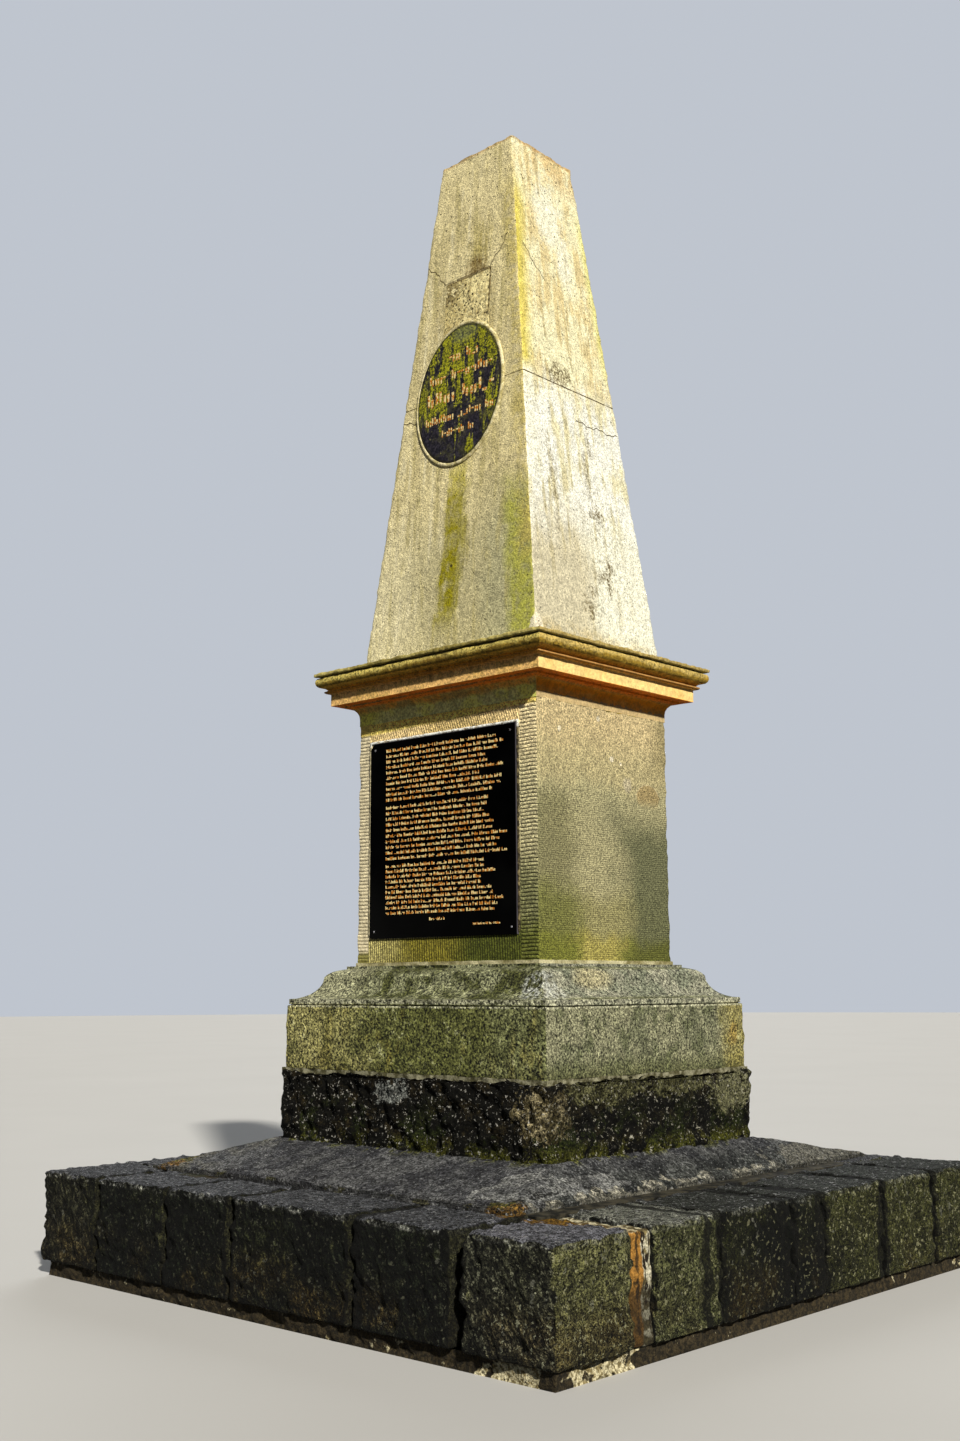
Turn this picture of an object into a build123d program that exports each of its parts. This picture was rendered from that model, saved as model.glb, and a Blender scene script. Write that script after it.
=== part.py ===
# Stone obelisk on a stepped pedestal, standing on a mortar apron inside a ring of granite kerb blocks.
# Millimetres, +Z up. The origin is the centre of the underside. The front, with the tablet, faces -Y.
import os

from build123d import *

os.makedirs("parts", exist_ok=True)

# Platform: a square ring of kerb blocks on a mortar bed, packed with rubble
platform_side = 2838
bed_height = 60
bed_inset = 25
kerb_height = 365
kerb_depth = 385
kerb_wear = 14
open_joint = 14
corner_joint = 55
strip_joint = 115
joint_recess = 12
packing_recess = 70
packing_height = 240
# Relative lengths of the blocks between two corner blocks, from left to right or from front to back
front_shares = (480, 412, 683, 485)
side_shares = (385, 470, 218, 450, 439)

# Mortar apron: how far its edge stays inside the kerb on each side, its rise and its thin outer edge
apron_front_margin = 340
apron_back_margin = 110
apron_left_margin = 300
apron_right_margin = 470
apron_rise = 122
apron_edge = 12

# Pedestal: half widths of the die, and how far the other courses stand out from it
die_half_x = 531
die_half_y = 443
footing_projection = 240
footing_height = 403
footing_round = 35
plinth_projection = 220
plinth_bed = 12
plinth_bed_projection = 228
plinth_height = 272
stone_wear = 4
base_height = 165
base_projection = 212
base_quirk_height = 5
base_quirk_depth = 10
base_fillet_height = 20
base_nosing = 33
base_hollow_reach = 0.75 * base_projection
base_hollow_rise = 0.33 * base_height
base_turn_reach = 0.53 * base_projection
base_turn_rise = 0.63 * base_height
base_round_reach = 0.45 * base_projection
base_round_rise = 0.8 * base_height
base_neck_reach = 0.27 * base_projection
base_neck_rise = 0.9 * base_height
base_lip_rise = 0.93 * base_height
die_bed = 13
die_bed_projection = 5
die_height = 1065

# Cornice: heights above its own underside, and projections from the die
cornice_height = 227
neck_height = 35
cavetto_reach = 48
cavetto_height = 51
corona_reach = 94
corona_bottom = 94
corona_height = 54
bead_height = 19
bead_reach = 118
crown_reach = 146
quirk_height = 5
quirk_depth = 12
capping_height = 18
capping_reach = 152

# Shaft: half widths at its foot and top, and the heights of its two blocks
foot_half_x = 523
foot_half_y = 429
top_half_x = 222
top_half_y = 216
lower_height = 1255
upper_height = 1233
arris_wear = 5

# Tablet on the front of the die
tablet_width = 870
tablet_height = 866
tablet_side_shift = -12
tablet_rise = 538
tablet_thickness = 18
tablet_recess = 10
tablet_broken_corner = 22
tablet_bead_width = 12
tablet_bead_height = 5
setting_clearance = 0.3

# Oval plaque across the joint of the shaft, and the mended patch above it
plaque_half_width = 260
plaque_half_height = 340
plaque_side_shift = -15
plaque_rise = 1253
plaque_thickness = 19
plaque_recess = 12
plaque_bead_width = 16
plaque_bead_height = 6
patch_width = 291
patch_top = 591
patch_bottom = 250
patch_depth = 45

# Heights of the beds, from the ground up
kerb_foot = bed_height
kerb_top = kerb_foot + kerb_height
footing_top = kerb_top + footing_height
plinth_foot = footing_top + plinth_bed
plinth_top = plinth_foot + plinth_height
base_top = plinth_top + base_height
die_foot = base_top + die_bed
die_top = die_foot + die_height
cornice_top = die_top + cornice_height
shaft_foot = cornice_top + capping_height
shaft_joint = shaft_foot + lower_height
shaft_top = shaft_joint + upper_height
shaft_height = shaft_top - shaft_foot

platform_half = platform_side / 2
kerb_inner = platform_half - kerb_depth
footing_half_x = die_half_x + footing_projection
footing_half_y = die_half_y + footing_projection

pieces = []


def finish(part, name):
    """Label a finished piece and write it to its own file."""
    part.label = name
    export_step(part, f"parts/{name}.step")
    pieces.append(part)


def block_row(shares, first_joint, last_joint):
    """Start and end, along a side of the platform, of each block between two corner blocks."""
    joints = first_joint + last_joint + open_joint * (len(shares) - 1)
    room = 2 * kerb_inner - joints
    start = -kerb_inner + first_joint
    row = []
    for share in shares:
        length = room * share / sum(shares)
        row.append((start, start + length))
        start += length + open_joint
    return row


def kerb_block(name, low_x, low_y, high_x, high_y):
    """One granite block, worn along the edges of its top."""
    with BuildPart() as block:
        with BuildSketch(Plane.XY.offset(kerb_foot)):
            with Locations(((low_x + high_x) / 2, (low_y + high_y) / 2)):
                Rectangle(high_x - low_x, high_y - low_y)
        extrude(amount=kerb_height)
        chamfer(block.edges().group_by(Axis.Z)[-1], kerb_wear)
    finish(block.part, name)


def slab(plane, half_x, half_y, height):
    """A plain rectangular course, centred on the monument."""
    with BuildPart() as course:
        with BuildSketch(plane):
            Rectangle(2 * half_x, 2 * half_y)
        extrude(amount=height)
    return course.part


# Mortar bed under the ring
with BuildPart() as bed:
    add(slab(Plane.XY, platform_half - bed_inset, platform_half - bed_inset, bed_height))
finish(bed.part, "bedding_mortar")

# Rubble packing inside the ring
with BuildPart() as core:
    add(slab(Plane.XY.offset(kerb_foot), kerb_inner, kerb_inner, kerb_height))
finish(core.part, "core_fill")

# Corner blocks of the ring
for end, side_y in (("front", -1), ("back", 1)):
    for hand, side_x in (("left", -1), ("right", 1)):
        xs = sorted((side_x * kerb_inner, side_x * platform_half))
        ys = sorted((side_y * kerb_inner, side_y * platform_half))
        kerb_block(f"kerb_corner_{end}_{hand}", xs[0], ys[0], xs[1], ys[1])

# Blocks between the corners, with a wide joint on each side of the front right corner
for number, (start, end) in enumerate(block_row(front_shares, open_joint, corner_joint), 1):
    kerb_block(f"kerb_front_{number}", start, -platform_half, end, -kerb_inner)
for number, (start, end) in enumerate(block_row(front_shares, open_joint, open_joint), 1):
    kerb_block(f"kerb_back_{number}", start, kerb_inner, end, platform_half)
for number, (start, end) in enumerate(block_row(side_shares, strip_joint, open_joint), 1):
    kerb_block(f"kerb_right_{number}", kerb_inner, start, platform_half, end)
for number, (start, end) in enumerate(block_row(side_shares, open_joint, open_joint), 1):
    kerb_block(f"kerb_left_{number}", -platform_half, start, -kerb_inner, end)

# Mortar strip in the wide joint on the right
with BuildPart() as strip:
    with BuildSketch(Plane.XY.offset(kerb_foot)):
        with Locations((kerb_inner, -kerb_inner)):
            Rectangle(kerb_depth - joint_recess, strip_joint, align=(Align.MIN, Align.MIN))
    extrude(amount=kerb_height - joint_recess)
finish(strip.part, "kerb_joint_mortar")

# Stone packing pushed into the joint on the front
with BuildPart() as packing:
    with BuildSketch(Plane.XY.offset(kerb_foot)):
        with Locations((kerb_inner, -kerb_inner)):
            Rectangle(corner_joint, kerb_depth - packing_recess, align=(Align.MAX, Align.MAX))
    extrude(amount=packing_height)
finish(packing.part, "kerb_joint_packing")

# Rough footing course
with BuildPart() as footing:
    with BuildSketch(Plane.XY.offset(kerb_top)):
        RectangleRounded(2 * footing_half_x, 2 * footing_half_y, footing_round)
    extrude(amount=footing_height)
    chamfer(footing.edges().group_by(Axis.Z)[-1], stone_wear)
finish(footing.part, "footing_course")


def apron_outline(low, high, inner):
    """Section of the apron between two outer edges: thin outside, rising to the footing."""
    with BuildSketch() as section:
        Polygon(
            (low, kerb_top),
            (high, kerb_top),
            (high, kerb_top + apron_edge),
            (inner, kerb_top + apron_rise),
            (-inner, kerb_top + apron_rise),
            (low, kerb_top + apron_edge),
            align=None,
        )
    return section.sketch


# Mortar apron, sloping from the footing down onto the kerb
with BuildPart() as apron:
    with BuildSketch(Plane.XZ):
        add(apron_outline(apron_left_margin - platform_half, platform_half - apron_right_margin, footing_half_x))
    extrude(amount=platform_half, both=True)
    with BuildSketch(Plane.YZ):
        add(apron_outline(apron_front_margin - platform_half, platform_half - apron_back_margin, footing_half_y))
    extrude(amount=platform_half, both=True, mode=Mode.INTERSECT)
    with BuildSketch(Plane.XY.offset(kerb_top)):
        RectangleRounded(2 * footing_half_x, 2 * footing_half_y, footing_round)
    extrude(amount=apron_rise, mode=Mode.SUBTRACT)
finish(apron.part, "mortar_apron")

# Mortar bed and plinth block
with BuildPart() as plinth_mortar:
    add(slab(
        Plane.XY.offset(footing_top),
        die_half_x + plinth_bed_projection,
        die_half_y + plinth_bed_projection,
        plinth_bed,
    ))
finish(plinth_mortar.part, "plinth_bed_mortar")

with BuildPart() as plinth:
    add(slab(
        Plane.XY.offset(plinth_foot),
        die_half_x + plinth_projection,
        die_half_y + plinth_projection,
        plinth_height,
    ))
    chamfer(plinth.edges().filter_by(Axis.Z), stone_wear)
    chamfer(plinth.edges().group_by(Axis.Z)[-1], stone_wear)
finish(plinth.part, "plinth_block")


def base_outline(half):
    """Section of the base moulding: quirk, fillet, hollow, round and nosing, around a die this wide."""
    fillet_out = half + base_projection
    fillet_top = plinth_top + base_quirk_height + base_fillet_height
    quirk_in = fillet_out - base_quirk_depth
    turn = (half + base_turn_reach, plinth_top + base_turn_rise)
    with BuildSketch() as section:
        with BuildLine():
            Polyline(
                (0, plinth_top),
                (quirk_in, plinth_top),
                (quirk_in, plinth_top + base_quirk_height),
                (fillet_out, plinth_top + base_quirk_height),
                (fillet_out, fillet_top),
            )
            ThreePointArc(
                (fillet_out, fillet_top),
                (half + base_hollow_reach, plinth_top + base_hollow_rise),
                turn,
            )
            ThreePointArc(
                turn,
                (half + base_round_reach, plinth_top + base_round_rise),
                (half + base_neck_reach, plinth_top + base_neck_rise),
            )
            Polyline(
                (half + base_neck_reach, plinth_top + base_neck_rise),
                (half + base_nosing, plinth_top + base_lip_rise),
                (half + base_nosing, base_top),
                (0, base_top),
            )
            mirror(about=Plane.YZ)
        make_face()
    return section.sketch


# Base moulding, mitred round the foot of the die
with BuildPart() as base_moulding:
    with BuildSketch(Plane.XZ):
        add(base_outline(die_half_x))
    extrude(amount=platform_half, both=True)
    with BuildSketch(Plane.YZ):
        add(base_outline(die_half_y))
    extrude(amount=platform_half, both=True, mode=Mode.INTERSECT)
finish(base_moulding.part, "base_moulding")

# Mortar joint under the die
with BuildPart() as die_mortar:
    add(slab(
        Plane.XY.offset(base_top),
        die_half_x + die_bed_projection,
        die_half_y + die_bed_projection,
        die_bed,
    ))
finish(die_mortar.part, "die_bed_mortar")

# Front face of the die, centred on the tablet
tablet_plane = Plane(
    origin=(tablet_side_shift, -die_half_y, die_foot + tablet_rise),
    x_dir=(1, 0, 0),
    z_dir=(0, -1, 0),
)


def tablet_outline(margin):
    """Outline of the tablet with its broken corner, grown by a margin."""
    with BuildSketch() as outline:
        Rectangle(tablet_width + 2 * margin, tablet_height + 2 * margin)
        broken = outline.vertices().group_by(Axis.X)[0].sort_by(Axis.Y)[-1]
        chamfer(broken, tablet_broken_corner + margin)
    return outline.sketch


with BuildPart() as die:
    add(slab(Plane.XY.offset(die_foot), die_half_x, die_half_y, die_height))
    chamfer(die.edges().filter_by(Axis.Z), stone_wear)
    with BuildSketch(tablet_plane):
        add(tablet_outline(setting_clearance))
    extrude(amount=-tablet_recess, mode=Mode.SUBTRACT)
finish(die.part, "die_block")

with BuildPart() as tablet:
    with BuildSketch(tablet_plane.offset(-tablet_recess)):
        add(tablet_outline(0))
    extrude(amount=tablet_thickness)
    chamfer(tablet.faces().sort_by(Axis.Y)[0].edges(), stone_wear / 2)
finish(tablet.part, "tablet")

# Bead of mortar along the top and sides of the tablet
with BuildPart() as tablet_bead:
    with BuildSketch(tablet_plane):
        add(tablet_outline(tablet_bead_width))
        add(tablet_outline(setting_clearance), mode=Mode.SUBTRACT)
        with Locations((0, -tablet_height / 2)):
            Rectangle(2 * tablet_width, 2 * tablet_bead_width, mode=Mode.SUBTRACT)
    extrude(amount=tablet_bead_height)
finish(tablet_bead.part, "tablet_bead_mortar")


def cornice_outline(half):
    """Section of the cornice block: neck, cavetto, corona, bead, hollow, ovolo and quirk."""
    cavetto_top = neck_height + cavetto_height
    corona_top = corona_bottom + corona_height
    bead_top = corona_top + bead_height
    bead_root = half + corona_reach + quirk_height
    lip = cornice_height - quirk_height
    with BuildSketch(Plane.XY) as section:
        with BuildLine():
            Polyline((0, die_top), (half, die_top), (half, die_top + neck_height))
            RadiusArc(
                (half, die_top + neck_height),
                (half + cavetto_reach, die_top + cavetto_top),
                cavetto_height,
            )
            Polyline(
                (half + cavetto_reach, die_top + cavetto_top),
                (half + cavetto_reach, die_top + corona_bottom),
                (half + corona_reach, die_top + corona_bottom),
                (half + corona_reach, die_top + corona_top),
                (bead_root, die_top + corona_top),
            )
            ThreePointArc(
                (bead_root, die_top + corona_top),
                (half + bead_reach, die_top + corona_top + bead_height / 2),
                (bead_root + quirk_height, die_top + bead_top),
            )
            Line(
                (bead_root + quirk_height, die_top + bead_top),
                (half + crown_reach - quirk_depth, die_top + bead_top + quirk_depth),
            )
            ThreePointArc(
                (half + crown_reach - quirk_depth, die_top + bead_top + quirk_depth),
                (half + crown_reach, die_top + bead_top + 3 * quirk_depth),
                (half + crown_reach - quirk_height, die_top + lip),
            )
            Polyline(
                (half + crown_reach - quirk_height, die_top + lip),
                (half + crown_reach - quirk_height - quirk_depth, die_top + lip),
                (half + crown_reach - quirk_height - quirk_depth, cornice_top),
                (0, cornice_top),
            )
            mirror(about=Plane.YZ)
        make_face()
    return section.sketch


# Cornice block, mitred round the head of the die
with BuildPart() as cornice:
    with BuildSketch(Plane.XZ):
        add(cornice_outline(die_half_x))
    extrude(amount=platform_half, both=True)
    with BuildSketch(Plane.YZ):
        add(cornice_outline(die_half_y))
    extrude(amount=platform_half, both=True, mode=Mode.INTERSECT)
finish(cornice.part, "cornice_block")

with BuildPart() as capping:
    add(slab(
        Plane.XY.offset(cornice_top),
        die_half_x + capping_reach,
        die_half_y + capping_reach,
        capping_height,
    ))
    chamfer(capping.edges().group_by(Axis.Z)[-1], stone_wear)
finish(capping.part, "cornice_capping")


def shaft_outline(foot_half, top_half, low, high):
    """Side of the tapering shaft between two heights."""
    low_half = foot_half + (top_half - foot_half) * (low - shaft_foot) / shaft_height
    high_half = foot_half + (top_half - foot_half) * (high - shaft_foot) / shaft_height
    with BuildSketch() as side:
        Polygon((-low_half, low), (low_half, low), (high_half, high), (-high_half, high), align=None)
    return side.sketch


def shaft_block(low, high):
    """One tapering block of the shaft, with its four arrises worn."""
    with BuildPart() as block:
        with BuildSketch(Plane.XZ):
            add(shaft_outline(foot_half_x, top_half_x, low, high))
        extrude(amount=foot_half_y, both=True)
        with BuildSketch(Plane.YZ):
            add(shaft_outline(foot_half_y, top_half_y, low, high))
        extrude(amount=foot_half_x, both=True, mode=Mode.INTERSECT)
        beds = block.edges().group_by(Axis.Z)
        arrises = [edge for edge in block.edges() if edge not in beds[0] and edge not in beds[-1]]
        chamfer(arrises, arris_wear)
    return block.part


# Sloping front face of the shaft, at the height of the plaque
plaque_half_y = foot_half_y + (top_half_y - foot_half_y) * plaque_rise / shaft_height
front_face = Plane(
    origin=(0, -plaque_half_y, shaft_foot + plaque_rise),
    x_dir=(1, 0, 0),
    z_dir=(0, -shaft_height, foot_half_y - top_half_y),
)


def plaque_oval(margin):
    """Outline of the plaque, grown by a margin."""
    with BuildSketch() as oval:
        with Locations((plaque_side_shift, 0)):
            Ellipse(plaque_half_width + margin, plaque_half_height + margin)
    return oval.sketch


def patch_outline():
    """Outline of the mended patch, which runs down behind the head of the plaque."""
    with BuildSketch() as outline:
        with Locations((0, patch_bottom)):
            Rectangle(patch_width, patch_top - patch_bottom, align=(Align.CENTER, Align.MIN))
    return outline.sketch


with BuildPart() as shaft_lower:
    add(shaft_block(shaft_foot, shaft_joint))
    with BuildSketch(front_face):
        add(plaque_oval(setting_clearance))
    extrude(amount=-plaque_recess, mode=Mode.SUBTRACT)
finish(shaft_lower.part, "shaft_lower_block")

with BuildPart() as shaft_upper:
    add(shaft_block(shaft_joint, shaft_top))
    with BuildSketch(front_face):
        add(plaque_oval(setting_clearance))
    extrude(amount=-plaque_recess, mode=Mode.SUBTRACT)
    with BuildSketch(front_face):
        add(patch_outline())
    extrude(amount=-patch_depth, mode=Mode.SUBTRACT)
finish(shaft_upper.part, "shaft_upper_block")

with BuildPart() as patch:
    with BuildSketch(front_face):
        add(patch_outline())
    extrude(amount=-patch_depth)
    with BuildSketch(front_face):
        add(plaque_oval(setting_clearance))
    extrude(amount=-plaque_recess, mode=Mode.SUBTRACT)
finish(patch.part, "shaft_patch")

with BuildPart() as plaque:
    with BuildSketch(front_face.offset(-plaque_recess)):
        add(plaque_oval(0))
    extrude(amount=plaque_thickness)
    chamfer(plaque.faces().sort_by(Axis.Y)[0].edges(), stone_wear)
finish(plaque.part, "oval_plaque")

# Bead of mortar round the plaque
with BuildPart() as plaque_bead:
    with BuildSketch(front_face):
        add(plaque_oval(plaque_bead_width))
        add(plaque_oval(setting_clearance), mode=Mode.SUBTRACT)
    extrude(amount=plaque_bead_height)
finish(plaque_bead.part, "plaque_bead_mortar")

height = max(piece.bounding_box().max.Z for piece in pieces)
print(f"{len(pieces)} pieces, {height:.0f} mm high")
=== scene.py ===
# %% [markdown]
# # A weathered stone obelisk
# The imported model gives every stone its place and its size. This lesson dresses that frame: each stone
# is modelled again on the same place with hewn, tooled or weathered surfaces, and gets its own finish.
# We work from the ground up: kerb ring, mortar apron, pedestal, cornice, shaft, and then the two plaques.

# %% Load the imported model
import math

import bmesh
import bpy
import numpy as np
from mathutils import Matrix, Vector


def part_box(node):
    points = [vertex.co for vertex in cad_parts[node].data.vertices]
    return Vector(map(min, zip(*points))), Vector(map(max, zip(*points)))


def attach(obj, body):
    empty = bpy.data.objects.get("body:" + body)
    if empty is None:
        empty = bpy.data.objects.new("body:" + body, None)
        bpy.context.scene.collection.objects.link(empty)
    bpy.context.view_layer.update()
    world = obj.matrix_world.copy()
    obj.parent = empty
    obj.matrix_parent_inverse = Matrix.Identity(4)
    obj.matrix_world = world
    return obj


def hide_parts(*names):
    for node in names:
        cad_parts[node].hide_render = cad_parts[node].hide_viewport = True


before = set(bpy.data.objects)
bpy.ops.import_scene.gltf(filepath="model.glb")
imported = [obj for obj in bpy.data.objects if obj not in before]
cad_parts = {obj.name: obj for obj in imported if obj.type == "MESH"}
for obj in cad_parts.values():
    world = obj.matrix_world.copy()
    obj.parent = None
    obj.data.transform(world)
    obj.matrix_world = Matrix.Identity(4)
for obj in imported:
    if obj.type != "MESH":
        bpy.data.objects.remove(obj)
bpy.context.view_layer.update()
mm = 0.001

# %% [markdown]
# ## Hand tools
# By hand we would add a cube, pull it to size and work on it in edit mode. These few helpers do the same
# from code. Every operator acts on all that is selected, so each helper first deselects everything, and
# then picks faces or edges by where they are or which way they face.


# %% Selecting
def only(ob=None):
    """Leave edit mode and select nothing, or just this one object."""
    if bpy.context.object and bpy.context.object.mode != "OBJECT":
        bpy.ops.object.mode_set(mode="OBJECT")
    bpy.ops.object.select_all(action="DESELECT")
    if ob:
        ob.select_set(True)
        bpy.context.view_layer.objects.active = ob


def settle():
    """Make the place, turn and scale of the selected object part of its mesh."""
    bpy.ops.object.transform_apply(location=True, rotation=True, scale=True)


def pick(ob, kind, test):
    """Go into edit mode and select exactly the faces or edges for which the test holds."""
    only(ob)
    bpy.ops.object.mode_set(mode="EDIT")
    bpy.ops.mesh.select_mode(type=kind)
    bpy.ops.mesh.select_all(action="DESELECT")
    mesh = bmesh.from_edit_mesh(ob.data)
    if kind == "EDGE":
        chosen = [edge for edge in mesh.edges if test(edge.verts[0].co, edge.verts[1].co)]
    else:
        chosen = [face for face in mesh.faces if test(face.calc_center_median(), face.normal)]
    for element in chosen:
        element.select_set(True)
    mesh.select_flush_mode()
    bmesh.update_edit_mesh(ob.data)
    return len(chosen)


# %% [markdown]
# Every stone starts as a cube, and its arrises are eased by a bevel.


# %% Starting a block
def block(name, low, high):
    """A cube pulled to the size of a block, with its place in its mesh."""
    low, high = Vector(low), Vector(high)
    only()
    bpy.ops.mesh.primitive_cube_add(size=1, location=(low + high) / 2, scale=high - low)
    ob = bpy.context.object
    ob.name = ob.data.name = name
    settle()
    return ob


def ease(ob, width, segments=2, test=None):
    """Bevel the edges that pass the test, or all of them."""
    pick(ob, "EDGE", test or (lambda a, b: True))
    bpy.ops.mesh.bevel(
        offset=width, offset_type="OFFSET", segments=segments, affect="EDGES", clamp_overlap=True)
    only(ob)


# %% [markdown]
# Some pieces grow from a selected face, and some are joined from several parts.


# %% Extruding and joining
def extrude(lift):
    """Extrude the selected faces and move them up by this much."""
    bpy.ops.mesh.extrude_region_move(TRANSFORM_OT_translate={"value": (0, 0, lift)})


def join(pieces, name):
    """Make one piece with this name of several."""
    only(pieces[0])
    for piece in pieces:
        piece.select_set(True)
    bpy.ops.object.join()
    ob = bpy.context.object
    ob.name = ob.data.name = name
    return ob


# %% [markdown]
# A pattern can only move points that are there, so long edges are cut into short ones first. A row of
# parallel edges is divided as a whole, so that the new points line up.

# %% Cutting long edges
most_pieces = 100
print("a long edge is cut into at most", most_pieces, "pieces at a time")


def cut(ob, axes, spacing, together=False, where=None):
    """Divide the long edges along each of these axes into equal lengths near this spacing."""
    for letter in axes:
        cut_along(ob, "xyz".index(letter), spacing, together, where)


def cut_along(ob, axis, spacing, together, where):
    """Divide the long edges along one axis; rows of more than the most pieces are halved first."""
    mesh = ob.data
    places = points(ob)
    ends = np.empty(len(mesh.edges) * 2, dtype=np.int32)
    mesh.edges.foreach_get("vertices", ends)
    ends = ends.reshape(-1, 2)
    first, second = places[ends[:, 0]], places[ends[:, 1]]
    along = np.abs(second - first)[:, axis]
    chosen = (along > 0.7 * np.linalg.norm(second - first, axis=1)) & (along > 1.5 * spacing)
    if where:
        chosen &= where((first + second) / 2)
    low = np.minimum(first[:, axis], second[:, axis]).round(4)
    high = np.maximum(first[:, axis], second[:, axis]).round(4)
    spans = {}
    for edge in np.flatnonzero(chosen):
        spans.setdefault(0 if together else (low[edge], high[edge]), []).append(edge)
    most = 0
    for row in spans.values():
        pieces = int(round(along[row].max() / spacing))
        most = max(most, pieces)
        if pieces > most_pieces:
            pieces = 2
        if pieces > 1:
            divide(ob, ends[row].tolist(), pieces)
    if most > most_pieces:
        cut_along(ob, axis, spacing, together, where)


def divide(ob, pairs, pieces):
    """Divide the edges between these pairs of vertices."""
    only(ob)
    bpy.ops.object.mode_set(mode="EDIT")
    bpy.ops.mesh.select_mode(type="EDGE")
    bpy.ops.mesh.select_all(action="DESELECT")
    mesh = bmesh.from_edit_mesh(ob.data)
    mesh.verts.ensure_lookup_table()
    for start, end in pairs:
        mesh.edges.get((mesh.verts[start], mesh.verts[end])).select_set(True)
    mesh.select_flush_mode()
    bmesh.update_edit_mesh(ob.data)
    bpy.ops.mesh.subdivide(number_cuts=pieces - 1)
    only(ob)


def close_bed(ob, *heights):
    """Join the small faces of each hidden flat bed into one."""
    for height in heights:
        found = pick(ob, "FACE", lambda centre, normal: (
            abs(centre.z - height) < 0.2 * mm and abs(normal.z) > 0.99))
        if found > 1:
            bpy.ops.mesh.dissolve_faces()
        only(ob)


# %% [markdown]
# ## Weathering
# Stone is never flat. A Displace modifier pushes every point along its normal by a cloud or cell pattern,
# and a vertex group says where it may act, for example only along the arrises, where corners chip first.
# Most patterns push out and in by equal parts. The chips only ever cut inwards.


# %% Points and masks
def points(ob):
    """The places of all vertices as an array."""
    flat = np.empty(len(ob.data.vertices) * 3, dtype=np.float32)
    ob.data.vertices.foreach_get("co", flat)
    return flat.reshape(-1, 3).astype(float)


def move(ob, places):
    """Put all vertices where the array says."""
    ob.data.vertices.foreach_set("co", np.asarray(places, dtype=np.float32).ravel())
    ob.data.update()


def mark(ob, name, weights):
    """Store a weight from 0 to 1 for each vertex in a vertex group."""
    group = ob.vertex_groups.new(name=name)
    levels = 24
    steps = np.clip(np.round(np.asarray(weights) * levels), 0, levels).astype(int)
    for step in range(1, levels + 1):
        members = np.flatnonzero(steps == step)
        if len(members):
            group.add(members.tolist(), step / levels, "REPLACE")


# %% [markdown]
# Seven patterns serve all the stones. The chips have a high contrast, so that most of an arris stays whole.


# %% Patterns and displacement
def pattern(name, kind, size, contrast=1.0, brightness=1.0):
    """A solid pattern with features of this size in metres."""
    texture = bpy.data.textures.new(name, kind)
    texture.noise_scale = size
    texture.contrast = contrast
    texture.intensity = brightness
    if kind == "CLOUDS":
        texture.noise_depth = 3
        texture.noise_basis = "IMPROVED_PERLIN"
    return texture


def weather(ob, *layers):
    """Push the surface by each (pattern, depth, group) in turn; without a group it acts everywhere."""
    for texture, depth, *group in layers:
        only(ob)
        modifier = ob.modifiers.new("weather", "DISPLACE")
        modifier.texture = texture
        modifier.texture_coords = "LOCAL"
        modifier.strength = depth
        modifier.mid_level = 0.0 if "chips" in texture.name else 0.5
        if group:
            modifier.vertex_group = group[0]
        bpy.ops.object.modifier_apply(modifier=modifier.name)


def arris(gaps, width):
    """Weight 1 on an arris and 0 this far from it, from each point's distance to the sides of the block."""
    second = np.sort(np.abs(gaps), axis=1)[:, 1]
    return np.clip(1 - second / width, 0, 1)


def rim_of(gaps, width):
    """Weight 1 at the outer edge of a slab and 0 this far inside it, as seen from above."""
    return 1 - np.clip(np.sort(gaps[:, :2], axis=1)[:, 0] / width, 0, 1)


def box_gaps(ob, low, high):
    """Each point's distance to the nearest side of a block along x, y and z."""
    places = points(ob)
    return np.minimum(places - np.array(low), np.array(high) - places)


broad = pattern("broad", "CLOUDS", 0.30)
swell = pattern("swell", "CLOUDS", 0.12)
lumps = pattern("lumps", "CLOUDS", 0.045)
grit = pattern("grit", "CLOUDS", 0.018)
chips = pattern("chips", "CLOUDS", 0.05, contrast=4.0, brightness=0.62)
large_chips = pattern("large_chips", "CLOUDS", 0.11, contrast=4.5, brightness=0.60)
facets = pattern("facets", "VORONOI", 0.055)
print("patterns", [texture.name for texture in bpy.data.textures])


# %% Keeping a finished piece
def keep(ob, finish, slot, *nodes, angle=40):
    """Smooth the piece, give it its finish, and let it stand for its CAD nodes."""
    only(ob)
    ob.vertex_groups.clear()
    bpy.ops.object.shade_smooth_by_angle(angle=math.radians(angle))
    ob.data.materials.clear()
    ob.data.materials.append(finish)
    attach(ob, "root")
    if nodes:
        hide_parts(*nodes)
    size = [round(value * 1000) for value in ob.dimensions]
    print(ob.name, "size in mm", size, "faces", len(ob.data.polygons))


# %% [markdown]
# ## Writing finishes
# A finish is a small web of shader nodes. To keep it readable we wrap a socket in a class, so that a mask
# such as `1 - wet * low` can be written as plain maths and adds the Math nodes by itself. Colours are mixed
# with Mix nodes. All patterns read Object coordinates, which here are metres in the model's own frame.


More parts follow.
